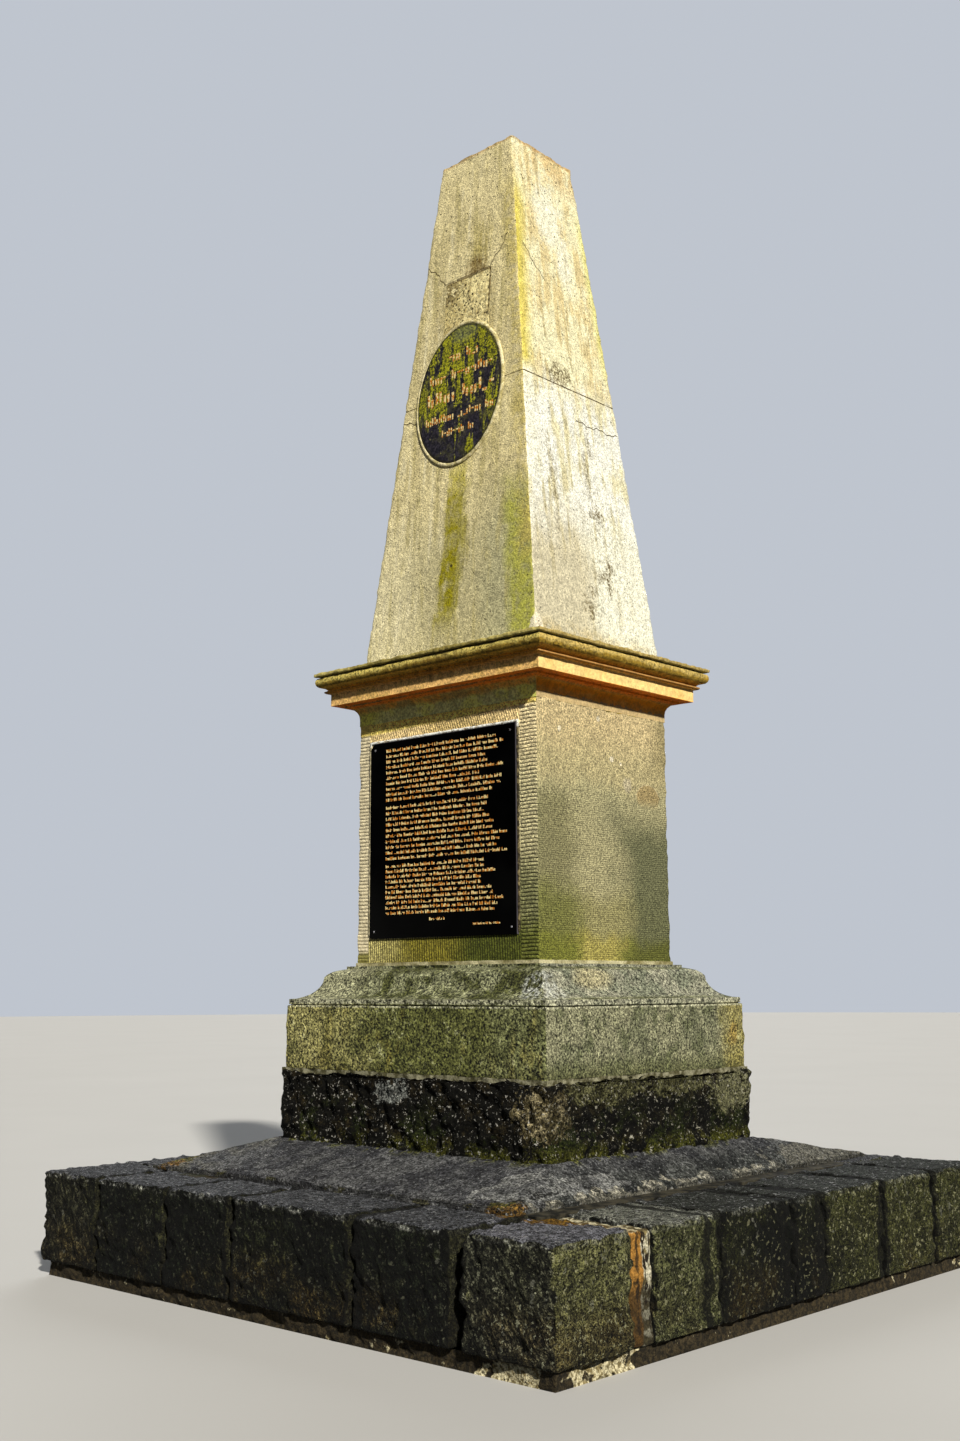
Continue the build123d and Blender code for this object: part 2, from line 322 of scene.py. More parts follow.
# %% Shader values
class Value:
    """A socket that carries a number."""

    def __init__(self, finish, socket):
        self.finish = finish
        self.socket = socket

    def maths(self, operation, first, second=0.0):
        """A Math node with two inputs."""
        return self.finish.node("Math", {"operation": operation}, {0: first, 1: second})

    def __add__(self, other):
        return self.maths("ADD", self, other)

    def __sub__(self, other):
        return self.maths("SUBTRACT", self, other)

    def __rsub__(self, other):
        return self.maths("SUBTRACT", other, self)

    def __mul__(self, other):
        return self.maths("MULTIPLY", self, other)

    def __truediv__(self, other):
        return self.maths("DIVIDE", self, other)

    def __abs__(self):
        return self.maths("ABSOLUTE", self)

    def sine(self):
        """The sine of the value."""
        return self.maths("SINE", self)

    __radd__ = __add__
    __rmul__ = __mul__

    def above(self, low, high):
        """0 below the low value, 1 above the high one, and smooth between."""
        values = {"Value": self, "From Min": low, "From Max": high}
        return self.finish.node("MapRange", {"interpolation_type": "SMOOTHSTEP"}, values)

    def below(self, low, high):
        """1 below the low value and 0 above the high one."""
        return 1 - self.above(low, high)

    def within(self, low, high, soft):
        """1 between two values, fading over a soft width outside them."""
        return self.above(low - soft, low) * self.below(high, high + soft)

    def either(self, other):
        """The larger of two masks at each place."""
        return self.maths("MAXIMUM", self, other)


# %% [markdown]
# The finish itself holds the material. Its small methods are the brushes of this lesson: clouds, cells,
# blobs, lines and cracks give masks, and coats lays colours on a base by these masks.


# %% Finishes
class Finish:
    """A material whose nodes are added from code."""

    def __init__(self, name):
        self.material = bpy.data.materials.new(name)
        self.material.use_nodes = True
        self.tree = self.material.node_tree
        self.tree.nodes.clear()
        self.place = self.node("TexCoord", {}, {}, "Object")
        self.x, self.y, self.z = self.split(self.place)
        self.across, self.deep, self.up = self.split(self.node("NewGeometry", {}, {}, "Normal"))

    def node(self, kind, settings, values, result=0):
        """Any node: its settings first, then its values or links, and back comes one of its outputs."""
        made = self.tree.nodes.new("ShaderNode" + kind)
        for name, setting in settings.items():
            setattr(made, name, setting)
        for name, value in values.items():
            if isinstance(value, Value):
                self.tree.links.new(value.socket, made.inputs[name])
            else:
                made.inputs[name].default_value = value
        return Value(self, made.outputs[result])

    def split(self, vector):
        """The three parts of a vector as values."""
        first = self.node("SeparateXYZ", {}, {0: vector}, "X")
        node = first.socket.node
        return first, Value(self, node.outputs["Y"]), Value(self, node.outputs["Z"])

    def stretch(self, x, y, z):
        """The place with each axis divided by a length, so that a pattern of size 1 gets these lengths."""
        scale = (1 / x, 1 / y, 1 / z)
        return self.node("VectorMath", {"operation": "MULTIPLY"}, {0: self.place, 1: scale})

    def slanted(self, width, depth, length, lean):
        """The same for strokes that lean to the left at their upper end when seen from the front."""
        across = (self.x * math.cos(lean) + self.z * math.sin(lean)) / width
        along = (self.z * math.cos(lean) - self.x * math.sin(lean)) / length
        return self.node("CombineXYZ", {}, {"X": across, "Y": self.y / depth, "Z": along})

    def noise(self, size, detail=3.0, rough=0.55, vector=None):
        """A cloudy pattern with features of this size in metres."""
        values = {"Vector": vector or self.place, "Scale": 1 / size, "Detail": detail, "Roughness": rough}
        return self.node("TexNoise", {}, values)

    def cells(self, size):
        """The distance to the nearest of many scattered points, this far apart in metres."""
        return self.node("TexVoronoi", {"feature": "F1"}, {"Vector": self.place, "Scale": 1 / size})

    def ripple(self, value, half):
        """0 and 1 in turn along a value, with this distance from each 0 to the next 1."""
        return self.node("Math", {"operation": "PINGPONG"}, {0: value, 1: half})

    def mix(self, base, over, mask, light=1.0):
        """One colour over another where the mask is 1; plain numbers are as seen in this light."""
        values = {0: mask, 6: own(base, light), 7: own(over, light)}
        return self.node("Mix", {"data_type": "RGBA", "clamp_factor": True}, values, 2)

    def coats(self, light, base, layers):
        """Coats of colour on a base. Each layer is a colour, as seen in this light, and where it lies."""
        colour = own(base, light)
        for over, mask in layers:
            colour = self.mix(colour, over, mask, light)
        return colour

    def far_sides(self):
        """1 on the back and on the left side."""
        return self.deep.above(0.35, 0.75).either(self.across.below(-0.75, -0.35))

    def shade(self, colour, amount):
        """The colour made darker or lighter by a number."""
        return self.node("VectorMath", {"operation": "SCALE"}, {0: colour, "Scale": amount})

    def distance(self, centre, scale):
        """How far from a place, with each axis measured by its own scale."""
        offset = self.node("VectorMath", {"operation": "SUBTRACT"}, {0: self.place, 1: centre})
        offset = self.node("VectorMath", {"operation": "MULTIPLY"}, {0: offset, 1: scale})
        return self.node("VectorMath", {"operation": "LENGTH"}, {0: offset}, "Value")

    def blob(self, centre, size, ragged=None, soft=0.6):
        """1 round a place, fading out at this size; the ragged value frays the edge."""
        distance = self.distance(centre, tuple(1 / length for length in size))
        if ragged:
            distance = distance + ragged
        return distance.below(1 - soft, 1)

    def blobs(self, ragged, *spots):
        """Blobs with the same ragged edge, each by (centre, size, softness) and perhaps its strength."""
        mask = None
        for centre, size, soft, *strength in spots:
            spot = self.blob(centre, size, ragged, soft)
            if strength:
                spot = spot * strength[0]
            mask = mask.either(spot) if mask else spot
        return mask

    def line(self, start, end, width, ragged=None):
        """1 along a straight crack between two places."""
        start, end = Vector(start), Vector(end)
        reach = end - start
        offset = self.node("VectorMath", {"operation": "SUBTRACT"}, {0: self.place, 1: start})
        step = tuple(reach / reach.length_squared)
        share = self.node("VectorMath", {"operation": "DOT_PRODUCT"}, {0: offset, 1: step}, "Value")
        share = self.node("Clamp", {}, {"Value": share})
        along = self.node("VectorMath", {"operation": "SCALE"}, {0: tuple(reach), "Scale": share})
        offset = self.node("VectorMath", {"operation": "SUBTRACT"}, {0: offset, 1: along})
        distance = self.node("VectorMath", {"operation": "LENGTH"}, {0: offset}, "Value")
        if ragged:
            distance = abs(distance + ragged)
        return distance.below(width * 0.5, width)

    def speckle(self, colour, *noises):
        """The colour made lighter and darker from grain to grain, by each (noise, share) in turn."""
        for noise, depth in noises:
            colour = self.shade(colour, noise.above(0.36, 0.64) * (2 * depth) + (1 - depth))
        return colour

    def lines(self, ragged, *pairs):
        """Cracks with the same ragged edge, each by (start, end, width)."""
        mask = None
        for start, end, width in pairs:
            found = self.line(start, end, width, ragged)
            mask = mask.either(found) if mask else found
        return mask

    def crack(self, start, end, width):
        """1 along a jagged crack on a face, on the same path as the blade that cuts it."""
        start, end = Vector(start), Vector(end)
        along, inward, sideways = crack_axes(start, end)
        offset = self.node("VectorMath", {"operation": "SUBTRACT"}, {0: self.place, 1: start})
        reach, depth, drift = [
            self.node("VectorMath", {"operation": "DOT_PRODUCT"}, {0: offset, 1: tuple(axis)}, "Value")
            for axis in (along, inward, sideways)]
        drift = abs(drift - stray(reach, Value.sine))
        on_it = reach.within(0, (end - start).length, 0.004) * abs(depth).below(0.04, 0.05)
        return drift.below(width * 0.4, width) * on_it

    def relief(self, height, depth, under=None):
        """A bump this deep in metres; another relief may lie under it."""
        values = {"Height": height, "Distance": depth, "Strength": 1.0}
        if under:
            values["Normal"] = under
        return self.node("Bump", {}, values, "Normal")

    def surface(self, colour, roughness, relief=None, specular=0.25):
        """Send everything to the shader, print the size of the web and return the material."""
        values = {"Base Color": colour, "Roughness": roughness, "Specular IOR Level": specular}
        if relief:
            values["Normal"] = relief
        shader = self.node("BsdfPrincipled", {}, values, "BSDF")
        output = self.tree.nodes.new("ShaderNodeOutputMaterial")
        self.tree.links.new(shader.socket, output.inputs["Surface"])
        self.report("its shader")
        return self.material

    def report(self, step):
        """Print how many nodes the finish has after a step."""
        print(self.material.name, "has", len(self.tree.nodes), "nodes with", step)


# %% [markdown]
# ## Colours under their light
# The low sun stands on the right, so the same stone looks twice as bright on its right side as in front.
# If we painted the colours that we see, that difference would count twice. We therefore divide each colour
# by the share of light that its side receives, and let the lamps put the difference back. In what follows,
# plain numbers for red, green and blue are colours as we see them in the light that stands beside them.

# %% Light shares and colours
FRONT = 0.80
RIGHT = 1.30
TOP = 1.12
SHADE = 0.13


def seen(red, green, blue, light=1.0):
    """The stone's own colour, at most 0.92, from the colour it shows under a share of light."""
    channels = []
    for channel in (red, green, blue):
        share = channel / 255
        linear = share / 12.92 if share < 0.04045 else ((share + 0.055) / 1.055) ** 2.4
        channels.append(min(linear / light, 0.92))
    return (*channels, 1.0)


def own(colour, light):
    """A plain (red, green, blue) becomes the stone's own colour; anything else is ready and stays."""
    if isinstance(colour, tuple) and len(colour) == 3:
        return seen(*colour, light)
    return colour


print("cream stone in front", seen(187, 176, 138, FRONT))

# %% [markdown]
# ## Camera and light
# The camera stands low in front of the near corner and looks slightly up, as in the photograph. One large
# soft sun lamp gives the slanting shadow of the cornice, and a dim sky and two weak lamps fill the rest, so
# that the back is readable too.

# %% Camera
bearing, rise, roll = math.radians(42.9), math.radians(10.02), math.radians(-0.25)
ahead = Vector((-math.sin(bearing) * math.cos(rise), math.cos(bearing) * math.cos(rise), math.sin(rise)))
side = Vector((math.cos(bearing), math.sin(bearing), 0))
top = side.cross(ahead)
side, top = side * math.cos(roll) + top * math.sin(roll), top * math.cos(roll) - side * math.sin(roll)
only()
bpy.ops.object.camera_add(location=(4.455, -5.004, 1.1925))
camera = bpy.context.object
camera.name = "camera"
turned = Matrix((side, top, -ahead)).transposed().to_4x4()
camera.matrix_world = Matrix.Translation(camera.location) @ turned
camera.data.lens = 37.45
camera.data.sensor_width = 36
bpy.context.scene.camera = camera
bpy.context.scene.view_settings.view_transform = "Standard"
print("camera at", tuple(camera.location))


# %% Lamps and sky
def sun(name, towards, strength, angle, colour):
    """A sun lamp that stands in this direction."""
    only()
    bpy.ops.object.light_add(type="SUN", location=Vector(towards).normalized() * 8)
    lamp = bpy.context.object
    lamp.name = name
    lamp.rotation_euler = Vector(towards).to_track_quat("Z", "Y").to_euler()
    lamp.data.energy = strength
    lamp.data.angle = math.radians(angle)
    lamp.data.color = colour


sun("key_sun", (1.27, -0.70, 1.0), 5.2, 2.5, (1.0, 0.97, 0.90))
sun("front_fill", (-0.2, -1.0, 0.9), 0.14, 40, (0.92, 0.96, 1.0))
sun("back_fill", (-0.8, 1.0, 0.6), 1.3, 40, (0.92, 0.96, 1.0))
sky = bpy.data.worlds.new("sky")
sky.use_nodes = True
backdrop = sky.node_tree.nodes["Background"]
backdrop.inputs["Color"].default_value = (0.84, 0.90, 1.0, 1.0)
sight = sky.node_tree.nodes.new("ShaderNodeLightPath")
strength = sky.node_tree.nodes.new("ShaderNodeMapRange")
strength.inputs["To Min"].default_value = 0.07
strength.inputs["To Max"].default_value = 0.62
sky.node_tree.links.new(sight.outputs["Is Camera Ray"], strength.inputs["Value"])
sky.node_tree.links.new(strength.outputs["Result"], backdrop.inputs["Strength"])
bpy.context.scene.world = sky

# %% [markdown]
# ## Mortar bed under the ring
# Pale lumpy mortar squeezed out under the kerb shows below the near corner. It is one flat slab, so we take
# a block, divide it finely, and push only its sides in and out. The underside stays flat on the ground.

# %% Bed mortar finish
f = Finish("bed_mortar_finish")
lump = f.noise(0.05, 5)
small = f.noise(0.016, 3, 0.6)
fine = f.noise(0.006, 3)
ragged = (f.noise(0.12) - 0.5) * 1.2
near = f.blobs(
    ragged,
    ((1.22, -1.42, 0.03), (0.15, 0.3, 0.3), 0.4),
    ((1.42, -1.12, 0.03), (0.3, 0.19, 0.3), 0.4))
earth = f.mix((26, 22, 13), (52, 44, 28), small.above(0.40, 0.60), FRONT)
pale = f.mix((104, 92, 60), (184, 174, 140), small.above(0.40, 0.58), FRONT)
crust = (lump + near * 0.24).above(0.62, 0.66)
colour = f.mix(earth, pale, crust)
colour = f.speckle(colour, (fine, 0.4))
bed_look = f.surface(colour, 0.95, f.relief(crust * 0.6 + lump + fine * 0.3, 0.014))

# %% Mortar bed
low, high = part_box("bedding_mortar")
bed = block("bedding_mortar_lumps", low, high)
cut(bed, "xy", 0.018)
cut(bed, "z", 0.015)
close_bed(bed, low.z, high.z)
mark(bed, "sides", rim_of(box_gaps(bed, low, high), 0.02) * (points(bed)[:, 2] > 4 * mm))
weather(bed, (swell, 0.060, "sides"), (lumps, 0.030, "sides"), (grit, 0.010, "sides"))
keep(bed, bed_look, "bed_mortar", "bedding_mortar")

# %% [markdown]
# ## Granite kerb
# Eighteen hewn blocks and four corner blocks stand in a square ring. They are rock-faced in front, flatter
# on top, dark with age and chipped along the upper arris. Their finish needs to know where the joints are,
# because a dark band runs along each, so we first read the ends of the blocks from the model.

# %% Joints of the kerb
kerbs = sorted(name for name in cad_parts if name.startswith("kerb_") and "joint" not in name)
high_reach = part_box("kerb_corner_front_right")[1].x


def block_ends(axis, *sides):
    """Where the kerb blocks of these sides begin and end along an axis."""
    names = [name for name in kerbs if any(word in name for word in sides)]
    return {round(end[axis], 2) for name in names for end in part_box(name)}


edges_across = block_ends(0, "front", "back")
edges_deep = block_ends(1, "right", "left")
joints_across = sorted(place for place in edges_across if abs(place) < high_reach - 0.1)
joints_deep = sorted(place for place in edges_deep if -0.9 < place < high_reach - 0.1)
print("joints across", joints_across)
print("joints deep", joints_deep)

# %% [markdown]
# The finish starts with its patterns, from broad clouds down to single grains, and with masks for the right
# side, the top and the near corner. One granite serves all the blocks.

# %% Granite: patterns and masks
f = Finish("kerb_granite_finish")
cloud = f.noise(0.30, 4)
mottle = f.noise(0.035, 5, 0.65)
grains = f.noise(0.010, 3, 0.7)
fine = f.noise(0.005, 3, 0.6)
right = abs(f.across).above(0.35, 0.75)
top = f.up.above(0.55, 0.85)
ragged = (cloud - 0.5) * 0.5
corner = f.blob((1.35, -1.30, 0.25), (0.44, 0.40, 0.9), ragged, 0.25)
chisel = f.noise(1, 3, 0.6, f.slanted(0.014, 0.020, 0.045, math.radians(30)))
hewn_front = (1 - top) * (1 - right)
f.report("patterns and masks")

# %% [markdown]
# In front the hewn faces are almost black, a little lighter round the near corner. On the right, where the
# sun falls, they are olive brown, but a long stretch in the middle of the row is painted nearly black: a
# painted shadow.

# %% Granite: hewn sides
front_colour = f.coats(FRONT, (9, 11, 6), [
    ((38, 38, 29), corner),
    ((28, 27, 18), (f.x + ragged * 0.4).below(-1.10, -1.00) * 0.8),
])
warm = f.y.below(-1.0, -0.95) * (f.z + (mottle - 0.5) * 0.2).below(0.12, 0.26)
right_colour = f.coats(RIGHT, (108, 107, 68), [
    ((84, 86, 54), f.y.above(-1.1, -0.8)),
    ((82, 73, 44), warm * 0.8),
    # painted shadow: from y = -0.53 on, the right side is nearly black; it lightens again beyond y = 0.05
    ((8, 11, 4), f.y.above(-0.545, -0.525)),
    ((72, 73, 40), (f.y + ragged).above(0.05, 0.30)),
])
hidden = f.far_sides()
colour = f.mix(f.mix(front_colour, right_colour, right), seen(48, 48, 37, FRONT), hidden)
olive = cloud.above(0.50, 0.62) * (1 - top)
foot = f.z.below(0.10, 0.30) * cloud.above(0.42, 0.6)
near_corner = f.blob((1.2, -1.2, 0.42), (0.30, 0.30, 0.2), ragged, 0.3)
f.report("its hewn sides")

# %% [markdown]
# The worn tops are cleaner and greyer, with a pale line along the upper arris. On the front faces chisel
# marks lean to the left: their ridges carry a painted highlight and the furrows between them painted shade.

# %% Granite: tops and chisel marks
top_colour = f.coats(TOP, (78, 79, 82), [
    ((106, 106, 112), near_corner),
    # painted light and shadow: the top of the lit stretch is paler, the top beyond y = -0.53 darker
    ((114, 115, 104), f.x.above(1.0, 1.1) * f.y.within(-0.95, -0.53, 0.02)),
    ((52, 54, 49), f.x.above(1.0, 1.1) * f.y.above(-0.54, -0.50)),
])
worn = f.z.above(0.396, 0.412) * (1 - top) * mottle.above(0.44, 0.60)
colour = f.coats(FRONT, colour, [
    (f.shade(colour, 0.7), cloud.below(0.42, 0.50) * (1 - top)),
    (seen(54, 56, 26, RIGHT), olive * (right * 0.2 + 0.12)),
    ((56, 44, 22), foot * 0.4),
    (top_colour, top),
    ((96, 96, 90), worn * 0.5),
])
colour = f.speckle(colour, (mottle, 0.50))
# Painted highlight on the ridges of the chisel marks, painted shade in the furrows.
lit_ridges = chisel.above(0.54, 0.59) * hewn_front
colour = f.mix(colour, f.shade(colour, 4.0), lit_ridges * mottle.above(0.38, 0.50))
colour = f.mix(colour, f.shade(colour, 0.25), chisel.below(0.39, 0.46) * hewn_front)
colour = f.speckle(colour, (grains, 0.85), (fine, 0.50))
f.report("its tops and chisel marks")

# %% [markdown]
# Close up, granite is pale crystals and dark hollows, with scabs of grey lichen. Where the sun falls, the
# crystals are painted brighter, a painted glint, and the hollows darker, a painted shade. Needles lie in
# two places on the top, and a dark band runs along each joint.

# %% Granite: crystals, litter and joints
crystal = (f.noise(0.015, 2, 0.6) + right * 0.02).above(0.63, 0.66)
crystal_colour = f.coats(RIGHT, seen(146, 146, 120, FRONT), [
    ((186, 183, 140), right),
    (seen(184, 184, 182, TOP), top),
])
# Where the sun falls: a painted glint on the crystals and painted shade in the hollows.
sunlit = corner.either(right * (1 - f.y.within(-0.54, 0.05, 0.05) * 0.6)).either(top)
colour = f.mix(colour, crystal_colour, crystal * (sunlit * 0.62 + 0.18))
hollow = f.noise(0.013, 2, 0.6).below(0.35, 0.41)
scab = f.noise(0.030, 4, 0.6, f.stretch(1, 1, 1.4)).above(0.62, 0.66) * cloud.above(0.47, 0.55)
shaggy = (mottle - 0.5) * 2.2
litter = f.blob((1.04, -1.05, 0.425), (0.20, 0.10, 0.06), shaggy, 0.25) * top
litter = litter.either(f.blob((-0.75, -1.10, 0.425), (0.13, 0.05, 0.06), shaggy, 0.25) * top * 0.8)
litter_colour = f.coats(TOP, (66, 46, 12), [
    ((158, 118, 40), grains.above(0.42, 0.58)),
    ((84, 92, 22), cloud.above(0.50, 0.54) * 0.8),
    ((40, 40, 16), f.x.below(-0.5, -0.4) * 0.8),
])
colour = f.coats(FRONT, colour, [
    # painted shade in the hollows where the sun falls
    (f.shade(colour, 0.20), hollow * sunlit),
    ((120, 120, 106), scab * grains.above(0.40, 0.52) * (1 - top) * 0.6),
    (litter_colour, litter),
])
# A dark band along each joint of the kerb.
joint_bands = f.x * 0
joint_wander = (mottle - 0.5) * 0.03
for place in joints_across:
    joint_bands = joint_bands.either(abs(f.x - place + joint_wander).below(0.012, 0.020) * f.y.below(-1.05, -1.0))
for place in joints_deep:
    joint_bands = joint_bands.either(abs(f.y - place + joint_wander).below(0.014, 0.022) * f.x.above(1.0, 1.05))
colour = f.mix(colour, seen(9, 9, 6), joint_bands * 0.85)
hewn_relief = f.relief(mottle + chisel * hewn_front, 0.040)
bump = f.relief(fine * 0.4 + grains, 0.012, hewn_relief)
granite_look = f.surface(colour, 0.92, bump, 0.2)

# %% [markdown]
# All blocks are the same kind, so one function makes them from the size of each node: bevel, divide, then
# four patterns from broad to fine, and chips along the arrises. The mesh is shifted before weathering so
# that neighbours do not share one pattern.


# %% Hewn blocks
def hewn(name, node, number):
    """One kerb block: rock faces at the sides, a flatter worn top."""
    low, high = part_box(node)
    ob = block(name, low, high)
    ease(ob, 0.012, 2)
    cut(ob, "xyz", 0.0135)
    shift = Matrix.Translation((number * 0.73, number * 1.37, number * 0.41))
    gaps = box_gaps(ob, low, high)
    places = points(ob)
    outer = np.maximum(np.abs(places[:, 0]), np.abs(places[:, 1])) > high_reach - 0.02
    upper = gaps[:, 2] < 0.01
    mark(ob, "faces", np.where(outer & ~upper, 1.0, 0.30))
    mark(ob, "arrises", arris(gaps, 0.028) * (places[:, 2] > low.z + 0.08))
    ob.data.transform(shift)
    weather(ob, (swell, 0.034, "faces"), (lumps, 0.024, "faces"), (facets, 0.020, "faces"), (grit, 0.007),
            (chips, -0.020, "arrises"))
    ob.data.transform(shift.inverted())
    keep(ob, granite_look, "granite", node, angle=60)
    return ob


for number, node in enumerate(kerbs):
    hewn(node + "_hewn", node, number)
print("kerb blocks", len(kerbs))

# %% [markdown]
# ## The two wide joints beside the near corner
# One joint is pointed with mortar, rust-stained on its left half and bleached on its right half. The other
# is open, with a lump of stone stuck in it. Both are small lumpy blocks with their own colours.

# %% Joint strip finish
f = Finish("joint_strip_finish")
lump = f.noise(0.030, 5)
fine = f.noise(0.007, 3, 0.7)
pale = f.mix((128, 114, 74), (218, 210, 180), lump.above(0.42, 0.52), RIGHT)
rust = f.mix((84, 60, 22), (170, 122, 54), lump.above(0.34, 0.48), RIGHT)
seam = f.y + (f.noise(0.07, 3) - 0.5) * 0.06
low_part = (f.z + (lump - 0.5) * 0.10).below(0.22, 0.27)
grey = f.mix((64, 58, 38), (124, 120, 102), lump.above(0.50, 0.58), RIGHT)
split = f.line((1.407, -0.970, 0.44), (1.407, -0.950, 0.16), 0.0055, (f.noise(0.04, 4) - 0.5) * 0.04)
jagged = (f.noise(0.05, 4) - 0.5) * 0.03
edge = f.lines(
    jagged,
    ((1.407, -1.000, 0.44), (1.407, -0.995, 0.10), 0.008),
    ((1.407, -0.938, 0.44), (1.407, -0.935, 0.10), 0.004))
hole = f.blob((1.41, -0.945, 0.325), (0.05, 0.012, 0.016), (lump - 0.5) * 1.2, 0.3)
topside = f.up.above(0.6, 0.85)
colour = f.coats(RIGHT, rust, [
    (pale, seam.above(-0.975, -0.969)),
    (grey, low_part * seam.above(-0.985, -0.970)),
    ((56, 42, 20), low_part * seam.below(-0.980, -0.965) * 0.85),
    (seen(30, 22, 12), split.either(edge * 0.8).either(hole)),
    (f.mix((84, 72, 44), (196, 186, 150), lump.above(0.46, 0.54), TOP), topside * 0.85),
])
colour = f.speckle(colour, (fine, 0.45))
strip_look = f.surface(colour, 0.95, f.relief(lump * 2 + fine * 0.4, 0.008))

# %% Joint strip
low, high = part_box("kerb_joint_mortar")
strip = block("joint_strip", low, high)
ease(strip, 0.008, 1)
cut(strip, "xyz", 0.009)
weather(strip, (swell, 0.030), (lumps, 0.016), (grit, 0.006))
keep(strip, strip_look, "pale_mortar", "kerb_joint_mortar", angle=60)

# %% [markdown]
# The packing in the other joint is one dark stone, set back: the same kind of lump with rounder edges. Its
# upper part is painted near black, a painted shade for the open gap above it.

# %% Packing finish
f = Finish("packing_finish")
lump = f.noise(0.04, 5)
light = f.mix((52, 50, 38), (118, 114, 96), lump.above(0.42, 0.56), 0.3)
# Above 0.3 m the stone is painted near black: painted shade of the open gap.
colour = f.mix(light, seen(14, 13, 9), (f.z + (lump - 0.5) * 0.1).above(0.29, 0.32))
colour = f.speckle(colour, (f.noise(0.008, 3), 0.4))
packing_look = f.surface(colour, 0.95, f.relief(lump, 0.01))

# %% Packing stone
low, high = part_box("kerb_joint_packing")
packing = block("joint_packing_stone", low, high)
ease(packing, 0.018, 2)
cut(packing, "xyz", 0.010)
weather(packing, (swell, 0.040), (lumps, 0.024))
keep(packing, packing_look, "rubble", "kerb_joint_packing", angle=60)

# %% [markdown]
# ## Mortar apron
# A grey mortar cap slopes from the footing down onto the kerb. It is a low frustum: a block as thick as the
# outer edge, whose top face is extruded up and scaled to the footing. The top is then pushed down again to
# make room for the footing. Its finish comes first, and starts with two greys, in front and on the right.

# %% Apron: grey mortar
f = Finish("apron_finish")
cloud = f.noise(0.28, 4)
patches = f.noise(0.09, 4, 0.6)
mottle = f.noise(0.035, 5, 0.65)
grains = f.noise(0.010, 3, 0.7)
fine = f.noise(0.006, 3, 0.7)
right = f.x.above(0.76, 0.90)
front_colour = f.mix((58, 58, 61), (90, 90, 90), (cloud + patches).above(0.86, 1.12), TOP)
right_colour = f.mix((44, 46, 45), (84, 86, 82), (cloud + patches).above(0.86, 1.12), 1.55)
f.report("its grey mortar")

# %% [markdown]
# Over the grey lie pale worn lobes beside the near corner, a light crust along the right edge, moss in the
# seams, and four cracks. Each is a mask with a frayed edge.

# %% Apron: crusts, moss and cracks
rise = (f.z - 0.437) / 0.12
ragged = (f.noise(0.20, 2) - 0.5) * 2.0 + (patches - 0.5) * 1.2
pale = f.mix((104, 104, 103), (150, 150, 145), patches.above(0.42, 0.56), 1.4)
lobes = f.blobs(
    ragged,
    ((0.80, -0.90, 0.49), (0.16, 0.15, 0.3), 0.04),
    ((0.90, -0.62, 0.475), (0.2, 0.24, 0.030), 0.04))
low_edge = (rise + (patches - 0.5) * 0.6).below(0.17, 0.20) * right * f.y.within(-0.95, 0.60, 0.05)
chunks = f.noise(0.12, 3).above(0.44, 0.46)
crust = f.mix((106, 104, 92), (186, 180, 160), mottle.above(0.38, 0.54), 1.4)
far = f.blob((0.90, 1.05, 0.46), (0.12, 0.42, 0.2), ragged, 0.1)
left_end = (f.x + (cloud - 0.5) * 0.6).below(-0.95, -0.60)
growth = f.noise(0.11, 4)
shaggy = (mottle - 0.5) * 2.2
seam_moss = f.blob((0.92, -1.06, 0.44), (0.13, 0.070, 0.1), shaggy, 0.25)
left_moss = f.blob((-1.05, -0.98, 0.44), (0.10, 0.12, 0.1), shaggy, 0.25)
edge = f.y.below(-1.066, -1.046).either(f.x.below(-1.106, -1.086))
moss = (edge * growth.above(0.58, 0.62) * 0.7).either(seam_moss).either(left_moss)
moss_colour = f.coats(TOP, (66, 50, 16), [
    ((132, 98, 38), grains.above(0.42, 0.60)),
    ((74, 78, 20), growth.above(0.50, 0.56) * 0.8),
])
foot_moss = f.z.above(0.524, 0.546) * (f.noise(0.14, 3) + (mottle - 0.5) * 0.4).above(0.54, 0.58)
jagged = (f.noise(0.07, 4) - 0.5) * 0.06
cracks = f.lines(
    jagged,
    ((0.76, -1.07, 0.44), (0.905, -0.98, 0.467), 0.005),
    ((0.905, -0.98, 0.467), (0.896, -0.62, 0.473), 0.005),
    ((0.896, -0.62, 0.473), (0.949, -0.50, 0.437), 0.004),
    ((-0.30, -0.80, 0.52), (-0.10, -1.07, 0.44), 0.003))
shadow_line = f.z.below(0.441, 0.446) * mottle.above(0.40, 0.50)
f.report("its masks")

# %% [markdown]
# Now the coats go on, and pale and dark grains of sand make the surface rough.

# %% Apron: coats
colour = f.coats(1.0, front_colour, [
    (right_colour, right),
    (pale, lobes * 0.85),
    (crust, low_edge * chunks * (f.y.below(-0.25, 0.05) * 0.4 + 0.5)),
    (seen(134, 130, 116, 1.55), far * 0.6),
    (seen(112, 108, 92, TOP), left_end * patches.above(0.44, 0.56) * 0.6),
    (moss_colour, moss * 0.9),
    (f.mix((36, 38, 12), (84, 84, 24), grains.above(0.45, 0.6), TOP), foot_moss * 0.9),
    ((16, 15, 12), cracks * 0.85),
    ((24, 24, 20), shadow_line * 0.6),
])
colour = f.speckle(colour, (mottle, 0.42), (grains, 0.85), (fine, 0.50))
sand = f.noise(0.014, 2, 0.6)
colour = f.coats(TOP, colour, [
    ((168, 168, 166), sand.above(0.62, 0.66) * 0.55),
    ((18, 18, 16), sand.below(0.34, 0.39) * 0.75),
])
bump = f.relief(grains + fine, 0.008, f.relief(mottle - cracks * 0.5, 0.018))
apron_look = f.surface(colour, 0.93, bump)

# %% [markdown]
# The frustum keeps a thin edge all round, and its sloping ribs are cut into short lengths.

